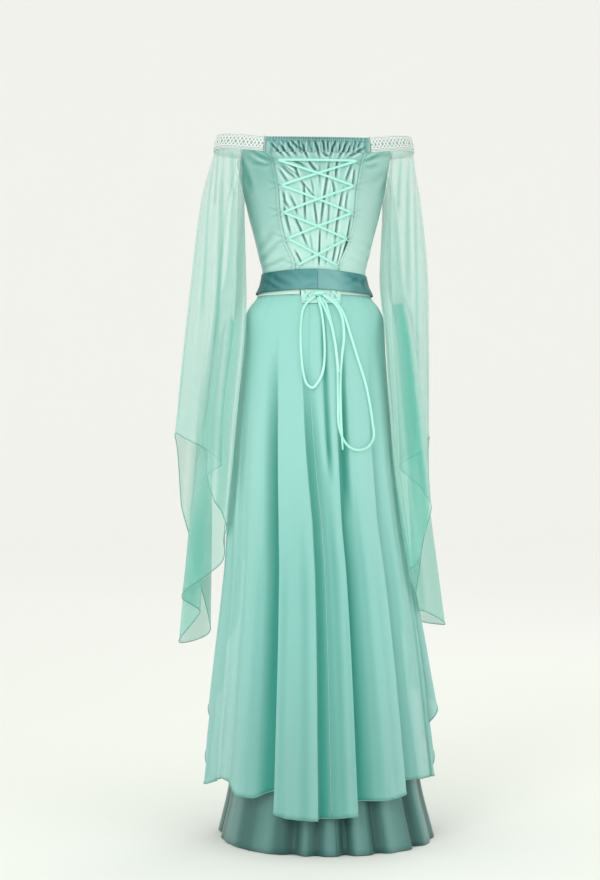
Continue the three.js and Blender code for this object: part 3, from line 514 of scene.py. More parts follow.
def knotExit(x, out):
    drop = -knot["up"] * math.sqrt(1 - (x / knot["across"]) ** 2 - (out / knot["out"]) ** 2)
    normal = unit(np.array([x / knot["across"] ** 2, -out / knot["out"] ** 2, drop / knot["up"] ** 2]))
    start = knotCentre + np.array([x, -out, drop]) + normal * cut["seam"]
    return [start, start + 5 * unit(np.array([normal[0], 0.5 * normal[2], normal[2]]))]


for name, end in bowEnds.items():
    points = knotExit(*end["leaves"]) + [onBack(*place) for place in end["route"]]
    if end["returns"]:
        points += knotExit(*end["returns"])[::-1]
    turned = smoothLine(*zip(*end["turned"]))
    rings, length, line = ribbonRings(points, cut["ribbonWidth"], cut["ribbon"], 1.5, turned)
    ribbon = tubePiece(name + "_ribbon", [rings], ribbonCloth, name)
print("cords made:", len(bowEnds))


# Bodice: two back panels and a front, smooth and close, with drag lines by the loops and arms
armholeEdge = rows("z back front", (-18, 65.5, 118.5), (-48, 69, 114.5), (-85, 76, 107),
                   (-112, 84.5, 98), (-118, 91.5, 92.5), (-400, 91.5, 92.5))
armholeBack, armholeFront = column(armholeEdge, "z", "back"), column(armholeEdge, "z", "front")
gapHalf = profile("z half", (-25, 91), (-47, 85), (-97, 77), (-150, 73), (-200, 62.5),
                  (-252, 43.5), (-340, 42))
loopPairs = rows("z half", (-47, 77), (-97, 70), (-149.5, 66), (-200, 56.5), (-252, 37.5))

bodice = {
    "rows": 120, "panelColumns": 64, "frontColumns": 100, "seamAngle": 0.14,
    "paintedSideShade": {-1: 0.16, 1: -0.55}, "mostLift": 1.6,
    "finish": {"top": -0.02, "bottom": -0.26, "drift": 0.16,
               "colours": [(0.0, "6ea69f"), (0.25, "7fb4ac"), (0.55, "9ccac3"), (1.0, "b5ded5")],
               "shadeAndWeaveColour": "3a8f83", "paintedHighlightColour": "cbe9de", "streakColour": "b9ded2",
               "paintedShadeShare": 0.75, "paintedHighlightShare": 0.4, "roughness": 0.42, "sheen": 0.25,
               "pitch": 0.0006, "streak": 0.14, "waviness": 0.003}}
bodiceCloth = clothMaterial("bodiceSatin", bodice["finish"])

backCreases = {
    -1: creaseRows(
        (3.4, 2.6, -134, -27, -112, -38, -88, -50), (4, 1.6, -124, -50, -104, -56, -86, -54),
        (2.2, 2.2, -98, -26, -91, -33, -84, -44), (3.0, 2.4, -112, -30, -96, -38, -82, -46),
        (3.2, 2.0, -118, -38, -100, -45, -84, -49), (3.0, 1.2, -128, -26, -110, -27, -96, -32),
        (5, 1.4, -152, -34, -138, -70, -126, -104), (5, 0.9, -140, -34, -128, -46, -112, -60),
        (6, 0.8, -112, -244, -96, -226, -74, -206), (7, 0.6, -116, -222, -98, -204, -84, -180),
        (4, 0.7, -60, -236, -84, -246, -106, -252)),
    1: creaseRows(
        (3.4, 2.2, 132, -28, 110, -40, 86, -50), (4, 1.3, 122, -52, 104, -58, 88, -56),
        (2.2, 1.8, 98, -26, 91, -33, 85, -43), (3.0, 2.0, 108, -27, 96, -36, 82, -45),
        (3.2, 1.4, 118, -36, 102, -44, 84, -48), (4, 1.2, 150, -30, 132, -34, 112, -42),
        (5, 1.3, 156, -38, 142, -74, 128, -110), (6, 0.7, 140, -60, 122, -78, 100, -88),
        (6, 0.9, 112, -240, 94, -228, 70, -214), (6, 0.8, 118, -214, 98, -208, 72, -202),
        (4, 0.9, 62, -236, 80, -242, 104, -254))}
for side in (-1, 1):
    for pair in loopPairs:  # short drag lines where each loop pulls on the edge
        x, z = side * pair["half"], pair["z"]
        backCreases[side] += creaseRows((2.6, 0.55, x + side * 10, z + 3, x + side * 30, z + 11),
                                        (2.4, 0.5, x + side * 10, z - 3, x + side * 26, z - 10))
frontCreases = creaseRows(
    (7, 1.8, -150, -50, -120, -78, -86, -92), (7, 1.6, 150, -46, 118, -80, 82, -90),
    (6, 1.1, -130, -84, -104, -100, -70, -112), (6, 1.3, 132, -88, 100, -108, 72, -114),
    (8, 1.0, -112, -150, -86, -172, -50, -184), (8, 1.1, 110, -160, 78, -186, 40, -190),
    (6, 1.0, -100, -206, -70, -222, -24, -226), (6, 1.2, 102, -214, 66, -232, 18, -234),
    (5, 0.9, -96, -240, -60, -250, -10, -248), (5, 0.8, 92, -246, 52, -254, 6, -252),
    (6, 0.9, -40, -30, -34, -54, -36, -80), (6, 0.8, 46, -30, 38, -60, 40, -84),
    (7, 0.8, 4, -28, 0, -60, 2, -104))
bodiceTop = cut["trimTop"] - cut["trimHeight"] - cut["seam"]


def bodiceHeight(angle, v):
    top = trimEnd(angle) - cut["seam"]
    return top + (cut["bodiceEnd"] - top) * v


v = np.linspace(0, 1, bodice["rows"])[:, None]
for hand, side in hands:
    name = "bodice_back_" + hand
    u = np.linspace(0, 1, bodice["panelColumns"])[None, :] ** 1.15
    level = bodiceHeight(75, v)
    inner = backAngle(side * gapHalf(level), level)
    outer = side * (armholeBack(level) - bodice["seamAngle"])
    angle = inner + (outer - inner) * u
    z = bodiceHeight(angle, v)
    flat = bodyPoint(angle, z)
    lift = creaseLift(flat[..., 0], z, backCreases[side])
    edge = np.abs(flat[..., 0] - flat[:, :1, 0])
    rolled = 1.1 * hump(edge - 2.2, 1.6) - 0.9 * hump(edge - 6.4, 1.4)
    puckers = 0.35 * np.sin(z * 0.62 + 0.4 * np.sin(z * 0.11)) * hump(edge - 5, 4)
    # painted shade: darker in creases and toward the sides and armholes, lighter on the rolled edge and
    # darker just inside it; the left panel is painted darker and the right lighter, as the light falls
    shade = (-(lift + 0.4 * rolled) / 2.0 + 0.75 * smooth((np.abs(angle) - 62) / 20)
             + bodice["paintedSideShade"][side])
    lift = np.minimum(lift + rolled + puckers, bodice["mostLift"])
    panel = clothPiece(name + "_satin", bodyPoint(angle, z, lift), shade, bodiceCloth,
                       "bodice_satin", name, side)
u = np.linspace(0, 1, bodice["frontColumns"])[None, :]
edge = armholeFront(bodiceHeight(110, v)) + bodice["seamAngle"]
angle = edge + (360 - 2 * edge) * u
z = bodiceHeight(angle, v)
flat = bodyPoint(angle, z)
lift = creaseLift(flat[..., 0], z, frontCreases)
# painted shade in the front's creases, painted highlights beside them
front = clothPiece("bodice_front_satin", bodyPoint(angle, z, np.minimum(lift, bodice["mostLift"])),
                   -lift / 2.2, bodiceCloth, "bodice_satin", "bodice_front")
print("bodice made")


# Elastic casing at the neckline and the gathered insert below it
gathers = creaseRows(
    (2.2, 2.6, -92, -13, -80, -27, -68, -40), (2.2, 2.8, -75, -14, -64, -30, -54, -42),
    (2.4, 3.2, -62, -9, -52, -25, -42, -38), (2.2, 2.4, -54, -7, -40, -21, -27, -38),
    (2.0, 3.2, -38, -5, -36, -21, -24, -33), (2.2, 3.6, -30, -11, -27, -27, -19, -44),
    (2.0, 1.8, -17, -6, -15, -18, -12, -30), (2.2, 3.2, -5, -7, -1, -23, 5, -42),
    (2.0, 3.0, 10, -3, 12, -16, 13, -30), (2.6, 2.6, 11, -31, 18, -37, 25, -38),
    (1.9, 1.6, 22, -5, 20, -16, 21, -26), (2.2, 3.2, 37, -6, 30, -23, 26, -43),
    (2.0, 2.0, 48, -8, 45, -20, 41, -31), (2.3, 3.6, 60, -6, 52, -26, 43, -42),
    (2.0, 2.2, 68, -12, 62, -26, 55, -37), (2.0, 2.6, 76, -5, 75, -16, 71, -28),
    (2.6, 2.8, 94, -20, 76, -32, 62, -40), (2.0, 1.8, 86, -6, 84, -14, 78, -21),
    (1.8, 1.4, -86, -4, -84, -11, -80, -18), (1.8, 1.2, -70, -3, -69, -9, -66, -14))
insertCreases = gathers + creaseRows(
    (2.6, 2.6, -76, -54, -60, -70, -42, -84), (2.2, 2.2, -72, -52, -56, -66, -36, -80),
    (2.6, 1.8, -78, -62, -66, -82, -58, -92), (2.4, 3.0, -66, -51, -46, -61, -37, -84),
    (2.4, 1.8, -50, -48, -34, -54, -24, -62), (2.6, 3.2, -19, -47, -10, -60, -1, -69),
    (2.4, 2.8, -37, -83, -28, -98, -27, -126, -25, -170), (2.2, 1.4, -14, -82, -10, -100, -8, -120),
    (2.0, 2.0, -32, -88, -20, -104, -6, -120), (2.4, 1.2, 5, -52, 4, -76, 5, -102),
    (2.4, 3.6, 25, -44, 20, -76, 12, -125, 6, -178), (2.4, 3.0, 41, -44, 38, -66, 37, -84),
    (2.6, 3.0, 70, -54, 64, -70, 57, -88), (2.4, 2.4, 30, -86, 34, -104, 34, -120),
    (2.6, 3.0, 52, -100, 46, -134, 40, -168, 35, -212), (2.2, 2.8, -8, -126, -4, -152, -1, -176),
    (1.9, 3.4, 5, -178, 4, -220, 3, -262), (2.8, 2.4, -70, -106, -66, -128, -56, -144),
    (2.8, 2.6, -69, -128, -62, -164, -53, -196), (2.6, 2.2, -50, -150, -32, -188, -18, -220),
    (2.6, 1.8, -58, -112, -46, -136, -40, -160), (2.4, 2.6, 38, -208, 35, -228, 31, -248),
    (2.4, 2.8, 69, -152, 61, -202, 50, -240), (2.6, 2.4, 75, -60, 74, -80, 71, -100),
    (2.4, 1.8, 62, -104, 58, -130, 57, -150), (2.4, 2.0, -46, -222, -38, -236, -30, -252),
    (1.8, 2.6, 65, -198, 60, -216, 54, -236), (2.4, 1.6, 24, -120, 22, -160, 18, -200),
    (2.4, 1.2, 22, -214, 18, -234, 16, -256), (2.6, 1.0, -16, -186, -12, -212, -8, -250),
    (1.8, 2.0, 50, -206, 46, -226, 40, -250), (2.0, 0.7, -28, -298, -22, -308, -14, -322),
    (2.0, 0.7, 38, -298, 34, -310, 30, -324), (2.0, 0.6, 26, -299, 23, -312, 24, -325))
casing = {
    "rows": 30, "columns": 380, "header": 4.5, "channel": 9.5, "puckers": 47,
    "endGap": 0.15,  # degrees between the casing and the trims
    "finish": {"top": 0.01, "bottom": -0.045, "drift": 0.1,
               "colours": [(0.0, "66a09c"), (0.5, "6ca5a1"), (1.0, "74ada8")],
               "shadeAndWeaveColour": "174f4c", "paintedHighlightColour": "bfe8e1", "streakColour": "8dbdb4", "paintedShadeShare": 0.9,
               "paintedHighlightShare": 0.6, "roughness": 0.36, "sheen": 0.2, "pitch": 0.0006, "waviness": 0.001}}
casingCloth = clothMaterial("casingSatin", casing["finish"])
casingAngle = float(backAngle(cut["casingHalf"], 0))
u = np.linspace(-1, 1, casing["columns"])[None, :]
v = np.linspace(0, 1, casing["rows"])[:, None]
angle = u * (casingAngle - casing["endGap"])
top = trimTop(angle) - 1
z = top + (trimEnd(angle) - top) * v
flat = bodyPoint(angle, z)
under = top + 1 - z  # millimetres below the trim's top
phase = casing["puckers"] * math.pi * u + 1.1 * np.sin(9 * u) + 0.7 * np.sin(23 * u + 1)
header = np.cos(phase) * np.where(under < casing["header"], 1.0, 0.55)
strength = smooth((casing["channel"] + 4 - under) / 5) * smooth((1 - np.abs(u)) * 12)
groove = -0.8 * hump(under - casing["header"], 0.9) - 0.9 * hump(under - casing["channel"], 1.0)
folds = creaseLift(flat[..., 0], z, gathers) * smooth((under - 5) / 6)
small = 0.8 * np.cos(phase * 0.5 + 2) * smooth((under - 8) / 6)
lift = folds + header * strength * 1.15 + groove + small
# painted shade in the puckers and grooves, painted highlights on their crests
band = clothPiece("neck_casing_gathered", bodyPoint(angle, z, np.clip(lift, -3.2, 1.7) - 0.4),
                  -(lift + 0.2) / 1.8, casingCloth, "casing_satin", "neck_casing_back")

insert = {
    "rows": 200, "columns": 116, "tabCentre": 6, "tabHalf": 38,
    "finish": {"top": -0.02, "bottom": -0.27, "drift": 0.2,
               "colours": [(0.0, "72a8a1"), (0.22, "8cc4ba"), (0.5, "aee0d5"), (1.0, "beebe0")],
               "shadeAndWeaveColour": "276e66", "paintedHighlightColour": "eefcf8", "streakColour": "cdf0e7",
               "paintedShadeShare": 0.95, "paintedHighlightShare": 0.8, "roughness": 0.3, "sheen": 0.2,
               "pitch": 0.0006, "streak": 0.2, "waviness": 0.003}}
insertCloth = clothMaterial("insertSatin", insert["finish"])
insertDepth = profile("z lift", (-18, -3.8), (-284, -3.6), (-303, 1.2), (-310, 1.7), (-340, 1.7))
insertEdge = rows(
    "z half centre", (-25, 96, 0), (-47, 93, 0), (-97, 85, 0), (-150, 81, 0), (-200, 70.5, 0),
    (-252, 52, 0), (-268, 46, 0), (-286, 39.5, 4), (-309, insert["tabHalf"], insert["tabCentre"]),
    (-340, insert["tabHalf"] - 1, insert["tabCentre"]))
insertHalf, insertCentre = column(insertEdge, "z", "half"), column(insertEdge, "z", "centre")
u = np.linspace(-1, 1, insert["columns"])[None, :]
z = np.linspace(bodiceTop - cut["backDrop"], cut["tabEnd"], insert["rows"])[:, None]
x = insertCentre(z) + u * insertHalf(z)
shown = smooth((z + 262) / 20) + smooth((-290 - z) / 6)  # 0 where the belt covers it
deep = creaseLift(x, z, insertCreases)
lift = deep * np.clip(shown, 0, 1) * smooth((1.0 - np.abs(u)) * 8)
# painted shade in the gathers, painted highlights on their crests
gathered = clothPiece("back_insert_gathered",
                      onBack(x, z, insertDepth(z) + 1.0 + np.clip(lift, -3.2, 1.3)),
                      -lift / 1.8, insertCloth, "insert_satin", "back_insert")
print("casing and insert made")


# Woven trim round both shoulders: a ground band, a lining coloured pale so the trim's shaded inside reads
# light, cords along its edges and a plait
braid = {
    "period": 24, "swing": 9.2, "strandWidth": 3.0, "strandThick": 0.9, "pace": 1.7, "columns": 241,
    "edgeCord": 1.9, "cordThick": 1.1, "cordPlaces": (1.2, 3.9), "liningThick": 0.4, "endAngle": 179.9,
    "ground": {"top": 0.02, "bottom": -0.03, "colours": [(0.0, "b3c6c1"), (1.0, "a6bab5")],
               "shadeAndWeaveColour": "7f9c94", "paintedHighlightColour": "dfe8e4", "streakColour": "c9d6d0", "roughness": 0.6,
               "pitch": 0.0011, "weaveShare": 0.4, "weaveDepth": 0.0004, "waviness": 0.0004},
    "strand": {"top": 0.02, "bottom": -0.03, "colours": [(0.0, "fdfffe"), (1.0, "f2f8f6")],
               "shadeAndWeaveColour": "b4c6c1", "paintedHighlightColour": "ffffff", "streakColour": "dce7e3", "roughness": 0.38,
               "sheen": 0.3, "specular": 0.7, "pitch": 0.0008, "weaveShare": 0.3, "weaveDepth": 0.0003,
               "waviness": 0.0003},
    # the lining's pale colours are painted light over the shaded inside of the trim
    "lining": {"top": 0.02, "bottom": -0.03, "colours": [(0.0, "eef8f4"), (1.0, "e2f2ec")],
               "shadeAndWeaveColour": "b5cdc5", "paintedHighlightColour": "ffffff", "streakColour": "f6fcfa", "roughness": 0.6,
               "pitch": 0.0008, "waviness": 0.0004}}
groundCloth = clothMaterial("braidGround", braid["ground"])
strandCloth = clothMaterial("braidStrand", braid["strand"])
liningPaintedLight = clothMaterial("braidLiningPaintedLight", braid["lining"])
strandSection = [(-1, 0), (-0.5, 0.8), (0.5, 0.8), (1, 0), (0.5, -0.8), (-0.5, -0.8)]


def trimPlace(side, share, down, lift):  # share of the way round, millimetres below the trim's top
    gap = casing["endGap"]
    angle = side * (casingAngle + gap + (braid["endAngle"] - casingAngle - gap) * share)
    return bodyPoint(angle, trimTop(angle) - down, lift)


def sweepOn(side, shares, down, lift, width, thick, section):
    return sweep(trimPlace(side, shares, down, lift), 0.3, section, width, thick)


for hand, side in hands:
    name = "braid_" + hand
    shares = np.linspace(0, 1, braid["columns"])
    down = np.linspace(0, cut["trimHeight"], 6)[:, None]
    band = clothPiece(name + "_ground", trimPlace(side, shares[None, :], down, 0.1), 0,
                      groundCloth, "woven_trim", name, side, cut["braid"])
    inside = trimPlace(side, shares[None, ::2], down[::5], -cut["braid"] - 0.1)
    clothPiece(name + "_lining", inside, 0, liningPaintedLight, "woven_trim", name, side,
               braid["liningThick"])
    line = trimPlace(side, shares, 15, 0)
    length = np.linalg.norm(np.diff(line, axis=0), axis=1).sum()
    fine = np.linspace(0.002, 0.999, int(length / braid["pace"]))
    plait = []
    for strand in range(4):
        way = fine * length / braid["period"] * 2 * math.pi + strand * math.pi / 2
        down = cut["trimHeight"] / 2 + braid["swing"] * np.sin(way) * (1 + 0.06 * np.sin(3 * way))
        lift = 0.75 + 0.5 * np.cos(2 * way + (math.pi if strand % 2 else 0))
        plait.append(sweepOn(side, fine, down, lift, braid["strandWidth"], braid["strandThick"],
                             strandSection))
    beads = 0.45 + 0.12 * np.sin(fine * length * 2.2)
    first, second = braid["cordPlaces"]
    for down in (first, second, cut["trimHeight"] - second, cut["trimHeight"] - first):
        plait.append(sweepOn(side, fine, down, beads, braid["edgeCord"], braid["cordThick"],
                             roundSection))
    tubePiece(name + "_plait", plait, strandCloth, name)
print("braid made")


# Satin belt in two halves and the pale tape that shows under it
belt = {
    "columns": 150, "rows": 26, "startAngle": 0.12, "endAngle": 179.88,
    "sideFall": 6.5, "frontFall": 2, "edgeShare": 0.035, "tapeRows": 8, "tapeHalf": 39.5,
    "finish": {"top": -0.255, "bottom": -0.31, "drift": 0.5,
               "colours": [(0.0, "478d90"), (0.5, "56989a"), (1.0, "6aa5a5")],
               "shadeAndWeaveColour": "06585a", "paintedHighlightColour": "96c4c2", "streakColour": "74aaaa",
               "paintedShadeShare": 0.95, "paintedHighlightShare": 0.75, "roughness": 0.42, "sheen": 0.0, "specular": 0.25,
               "pitch": 0.0006, "streak": 0.22, "waviness": 0.003},
    "tape": {"top": -0.28, "bottom": -0.31, "colours": [(0.0, "b7dccd"), (1.0, "cdeadf")],
             "shadeAndWeaveColour": "86bcae", "paintedHighlightColour": "eefaf5", "streakColour": "dff3ea",
             "roughness": 0.5, "pitch": 0.0008, "waviness": 0.001}}
beltCloth = clothMaterial("beltSatin", belt["finish"])
tapeCloth = clothMaterial("stayTape", belt["tape"])
# painted shade along the belt by x: darker toward both ends, lighter just right of the centre back
beltPaintedShade = profile("x tone", (-130, 1.0), (-96, 0.9), (-66, 0.6), (-36, 0.15), (-4, 0.0), (2, -0.5),
                   (34, -0.7), (54, 0.0), (76, 0.5), (130, 0.7))
beltLift = profile("z lift", (-300, 3.4), (-284, 0.9), (-262, 0.4))
beltCreases = creaseRows(
    (4.5, 1.3, -88, -266, -70, -282, -48, -292), (3.5, 1.1, -100, -276, -84, -290, -66, -300),
    (5, 0.8, -40, -264, -22, -274, -6, -272), (4, 0.8, -64, -262, -44, -272, -30, -286),
    (5, 1.0, 16, -266, 36, -278, 44, -294), (4.5, 1.3, 52, -264, 70, -276, 96, -284),
    (4, 0.9, 44, -290, 66, -284, 84, -268), (3.5, 1.2, 98, -270, 88, -286, 92, -300),
    (1.3, 0.6, -2, -262, -1.4, -280, -2, -298), (3.5, 1.0, 104, -266, 100, -280, 106, -298),
    (3.5, 0.7, -30, -296, -8, -290, 20, -295), (3.5, 1.0, -104, -264, -100, -280, -106, -296))
frontBelt = creaseRows(
    (5, 1.2, -80, -268, -50, -278, -16, -276), (5, 1.2, 12, -284, 44, -280, 78, -290),
    (4, 1.0, -60, -294, -30, -288, 4, -296), (4, 0.9, 30, -264, 58, -272, 90, -268))
u = np.linspace(0, 1, belt["columns"])[None, :]
for hand, side in hands:
    name = "belt_" + hand
    v = np.linspace(0, 1, belt["rows"])[:, None]
    angle = side * (belt["startAngle"] + (belt["endAngle"] - belt["startAngle"]) * u)
    fall = belt["sideFall"] * smooth(np.abs(angle) / 80) + belt["frontFall"] * np.sin(np.radians(angle))
    z = cut["beltTop"] - fall - cut["beltHeight"] * v
    flat = bodyPoint(angle, z)
    lift = np.where(np.abs(angle) < 90, creaseLift(flat[..., 0], z, beltCreases),
                    creaseLift(flat[..., 0], z, frontBelt))
    edges = 0.5 * hump(v, belt["edgeShare"]) + 0.5 * hump(1 - v, belt["edgeShare"])
    seam = 0.5 * hump(np.abs(angle), 1.2)
    out = beltLift(z) + 2.0 + np.clip(0.5 * lift, -1.0, 0.8) - edges - seam
    # painted shade: darker in the creases and at the top and bottom edges, plus the painted shade along the
    # belt
    shade = -lift / 5 + 0.6 * edges + beltPaintedShade(flat[..., 0])
    half = clothPiece(name + "_satin", bodyPoint(angle, z, out), shade, beltCloth, "belt_satin",
                      name, side)
    v = np.linspace(0, 1, belt["tapeRows"])[:, None]
    z = cut["bodiceEnd"] - cut["seam"] + (cut["waistSeam"] - cut["bodiceEnd"] + cut["seam"]) * v
    start = np.abs(backAngle(insert["tabCentre"] * 0.8 + side * belt["tapeHalf"], z))
    tape = clothPiece("waist_tape_" + hand, bodyPoint(side * (start + (179.85 - start) * u), z),
                      0, tapeCloth, "stay_tape", "waist_strip_" + hand, side)
print("belt and tape made")


# Overskirt: two sheer halves with long folds that tuck under their neighbours
overskirt = {
    "columns": 300, "rows": 118, "frontAngle": 171.5, "tuckHalf": 2.7, "hemTube": 1.1,
    "seamTube": 0.9, "seamPaintedHighlight": -0.4, "seamHalf": 0.7,  # the puckered centre-back seam, with a painted highlight
    # heights where a change begins, and how far down it is complete
    "pucker": (-560, 160), "waistLean": (-430, 320), "hemLean": (-750, 500),
    "sideShade": (-400, 220), "tone": (-420, 260), "seamShade": (-620, 160),
    "finish": {"top": -0.3, "bottom": -1.3, "drift": 0.1, "alpha": 0.72,
               "colours": [(0.0, "a3eade"), (0.3, "acebe3"), (0.65, "9edfd7"), (1.0, "98d1cb")],
               "shadeAndWeaveColour": "22a493", "paintedHighlightColour": "d0f6ee", "streakColour": "bdf2e8",
               "paintedShadeShare": 0.95, "paintedHighlightShare": 0.4, "roughness": 0.55, "sheen": 0.3,
               "pitch": 0.0007, "streak": 0.07, "waviness": 0.003},
    "hem": {"top": -0.3, "bottom": -1.3, "colours": [(0.0, "7cc4b5"), (1.0, "69ab9f")],
            "shadeAndWeaveColour": "3f8a7d", "paintedHighlightColour": "a8dccf", "streakColour": "8fcabc",
            "roughness": 0.55, "pitch": 0.0006, "waviness": 0.0005}}
centreGap = 0.03  # degrees from the centre back to each half's edge
overskirtCloth = clothMaterial("overskirtChiffon", overskirt["finish"])
hemCloth = clothMaterial("rolledHem", overskirt["hem"])
# angle at three heights, where each trough starts, half widths, depth at the hem, and how far
# it tucks under the next column (plus: under the right one)
troughs = rows(
    "waist mid hem start low high deep tuck", (-86, -82, -80, -420, 7, 5, 10, 0),
    (-70, -66, -64, -400, 6, 7, 9, -3), (-56, -50, -49, -620, 6, 6, 4, 0),
    (-41.5, -35.5, -33, -340, 9, 3, 24, 4.2), (-26, -20, -19, -640, 5, 4, 4, 0),
    (-12.6, -2.4, -1.8, -320, 3, 7, 16, -3.8), (21.4, 18.2, 17.4, -340, 3, 8, 21, -4.4),
    (33, 31, 31, -600, 6, 5, 5, 0), (51, 45, 44.5, -390, 3.5, 8, 20, -3.8),
    (62, 60, 60, -480, 6, 6, 8, 0), (76, 74, 75, -400, 8, 5, 13, 3), (90, 88, 88, -420, 5, 6, 10, 0))
hemLine = rows(
    "angle z wave", (-172, -326, 0), (-166, -372, 8), (-158, -470, -3), (-150, -590, 16),
    (-141, -700, -4), (-132, -850, 22), (-124, -930, -4), (-116, -1030, 20), (-111, -1084, -3),
    (-106, -1128, 19), (-101, -1180, 0), (-97, -1222, 13), (-93, -1256, 2), (-89, -1276, 12),
    (-84, -1268, 2), (-76, -1258, -2), (-62, -1250, 2), (-56, -1260, 0), (-50, -1273, 2),
    (-43, -1274, 0), (-34.5, -1258, 0), (-31.5, -1294, 0), (-22, -1304, 2), (-8, -1307, 0),
    (3, -1303, 2), (12, -1301, 0), (14.4, -1298, 0), (16.8, -1276, 0), (28, -1276, 2),
    (39.8, -1268, 0), (43.2, -1247, 0), (60, -1251, 2), (80, -1262, 3), (89, -1262, 4),
    (95, -1222, 12), (100, -1180, -3), (105, -1128, 34), (110, -1082, -2), (116, -1020, 36),
    (124, -910, -5), (132, -830, 19), (140, -690, -4), (149, -580, 14), (157, -462, -3),
    (165, -370, 8), (172, -326, 0))
# shallower folds, and short gathers let into the waist seam
softRipples = rows(
    "angle start end half deep", (-76, -380, -1200, 3.4, 3.0), (-58, -520, -1290, 3.4, 2.6),
    (-46, -700, -1290, 3.0, 2.2), (-27, -760, -1310, 2.6, 1.8), (-14, -700, -1310, 2.8, 2.4),
    (8.3, -306, -640, 1.6, 8.0), (20.5, -350, -700, 1.6, 4.0), (6, -620, -1310, 2.4, 2.6),
    (11.5, -800, -1310, 1.8, 1.8), (26, -560, -1280, 2.6, 2.4), (35, -760, -1280, 2.6, 2.0),
    (52, -620, -1280, 2.8, 2.8), (67, -500, -1270, 3.2, 3.0), (81, -380, -1200, 3.0, 3.0),
    (97, -360, -1000, 4, 3.6), (108, -360, -900, 4, 3.6), (121, -350, -760, 4, 3.6),
    (134, -340, -620, 4, 3.0), (147, -335, -520, 4, 2.6), (-97, -360, -1000, 4, 3.6),
    (-109, -350, -900, 4, 3.6), (-122, -350, -740, 4, 3.6), (-136, -340, -640, 4, 3.0),
    (-150, -335, -500, 4, 2.4))
waistGathers = rows(
    "angle half deep end", (-70, 2.4, 1.0, -372), (-49, 2.2, 0.8, -366), (-27, 1.8, 0.8, -372),
    (19, 1.6, 0.8, -366), (37, 1.8, 0.8, -362), (57, 2.2, 1.0, -366), (82, 2.4, 1.2, -370),
    (-83, 2.4, 1.2, -376))
# painted light and shade of the skirt's columns by angle: above 0 darker, below 0 lighter
skirtPaintedShading = profile(
    "angle tone", (-172, 0), (-70, -0.3), (-46, -0.3), (-38, -0.1), (-33, 0.12), (-10, 0.16),
    (6, 0.2), (14, 0.1), (24, -0.25), (36, -0.3), (44, -0.5), (64, -0.45), (172, 0))
hemHeight, hemWave = column(hemLine, "angle", "z"), column(hemLine, "angle", "wave")
shifts = rows("mid waist hem", (-95, 0, 0), (98, 0, 0),
              *((f["mid"], f["waist"] - f["mid"], f["hem"] - f["mid"]) for f in troughs))
waistShift, hemShift = column(shifts, "mid", "waist"), column(shifts, "mid", "hem")


def overskirtPlace(angle, v):  # points, and the painted shade at each: darker in folds, lighter at the sides near the waist, lighter or darker by column
    top = cut["waistSeam"] - cut["seam"]
    z = top + (hemHeight(angle) - top) * v
    depth, tuck = np.zeros(z.shape), np.zeros(z.shape)
    for f in troughs:
        away = angle - f["mid"]
        half = np.where(away < 0, f["low"], f["high"])
        grow = smooth(below(z, f["start"], 300)) * 0.7 + 0.3 * smooth(below(z, f["start"], 900))
        depth = depth + f["deep"] * grow * np.exp(-(np.abs(away) / half) ** 1.7 * 1.4)
        tuck = tuck + f["tuck"] * grow * hump(away - 0.25 * f["tuck"], overskirt["tuckHalf"])
    ripple = np.zeros(z.shape)
    for f in softRipples:
        along = (f["start"] - z) / (f["start"] - f["end"])
        strength = smooth(along * 3) * smooth((1.15 - along) * 4)
        away = (angle - f["angle"]) / f["half"]
        ripple = ripple + f["deep"] * strength * (hump(away) - 0.35 * hump(np.abs(away) - 1.9))
    for f in waistGathers:
        short = smooth((z - f["end"]) / 30)
        ripple = ripple + f["deep"] * short * hump((angle - f["angle"]) / f["half"])
    middle = hump(angle, overskirt["seamHalf"])
    pucker = middle * (0.2 + 0.6 * np.sin(z * 0.19 + 2 * np.sin(z * 0.05)))
    pucker = pucker * smooth(below(z, *overskirt["pucker"]))
    side = smooth((np.abs(angle) - 86) / 10)
    wave = hemWave(angle) * np.maximum(v, 0) ** 1.6
    slope = (hemWave(angle + 1.5) - hemWave(angle - 1.5)) / 3
    curl = -1.1 * slope * side * np.maximum(v, 0) ** 2.5
    flutter = 1.6 * np.sin(angle * 0.55) + 1.1 * np.sin(angle * 1.13 + 2)
    flutter = flutter * smooth((v - 0.9) * 10) ** 2
    lean = ((1 - np.clip(below(z, *overskirt["waistLean"]), 0, 1)) * waistShift(angle)
            + np.clip(below(z, *overskirt["hemLean"]), 0, 1) * hemShift(angle))
    lift = wave - depth - np.maximum(ripple, -0.6) + 0.5 * pucker - 0.8 + np.minimum(flutter, 0.6)
    # painted shading: lighter toward the sides near the waist, lighter or darker by column, lighter along
    # the centre seam, darker in the folds and ripples
    sides = 1 - 0.75 * smooth(below(z, *overskirt["sideShade"]))
    sides = smooth((np.abs(angle) - 60) / 26) * sides
    tone = (skirtPaintedShading(angle) * smooth(below(z, *overskirt["tone"]))
            - 0.3 * middle * smooth(below(z, *overskirt["seamShade"])))
    shade = depth / 16 + ripple / 8 - 0.4 * sides + tone
    return bodyPoint(angle + lean + tuck + curl, z, lift), shade - 0.15


def closeColumns(low, high, count):  # columns stand closer together in the troughs
    places = np.linspace(low, high, 2400)
    weight = 1 + sum(1.5 * hump(places - f["mid"], 5) for f in troughs)
    weight = weight + 0.9 * smooth((np.abs(places) - 88) / 8)
    total = np.concatenate([[0], np.cumsum((weight[1:] + weight[:-1]) / 2)])
    return np.interp(np.linspace(0, total[-1], count), total, places)


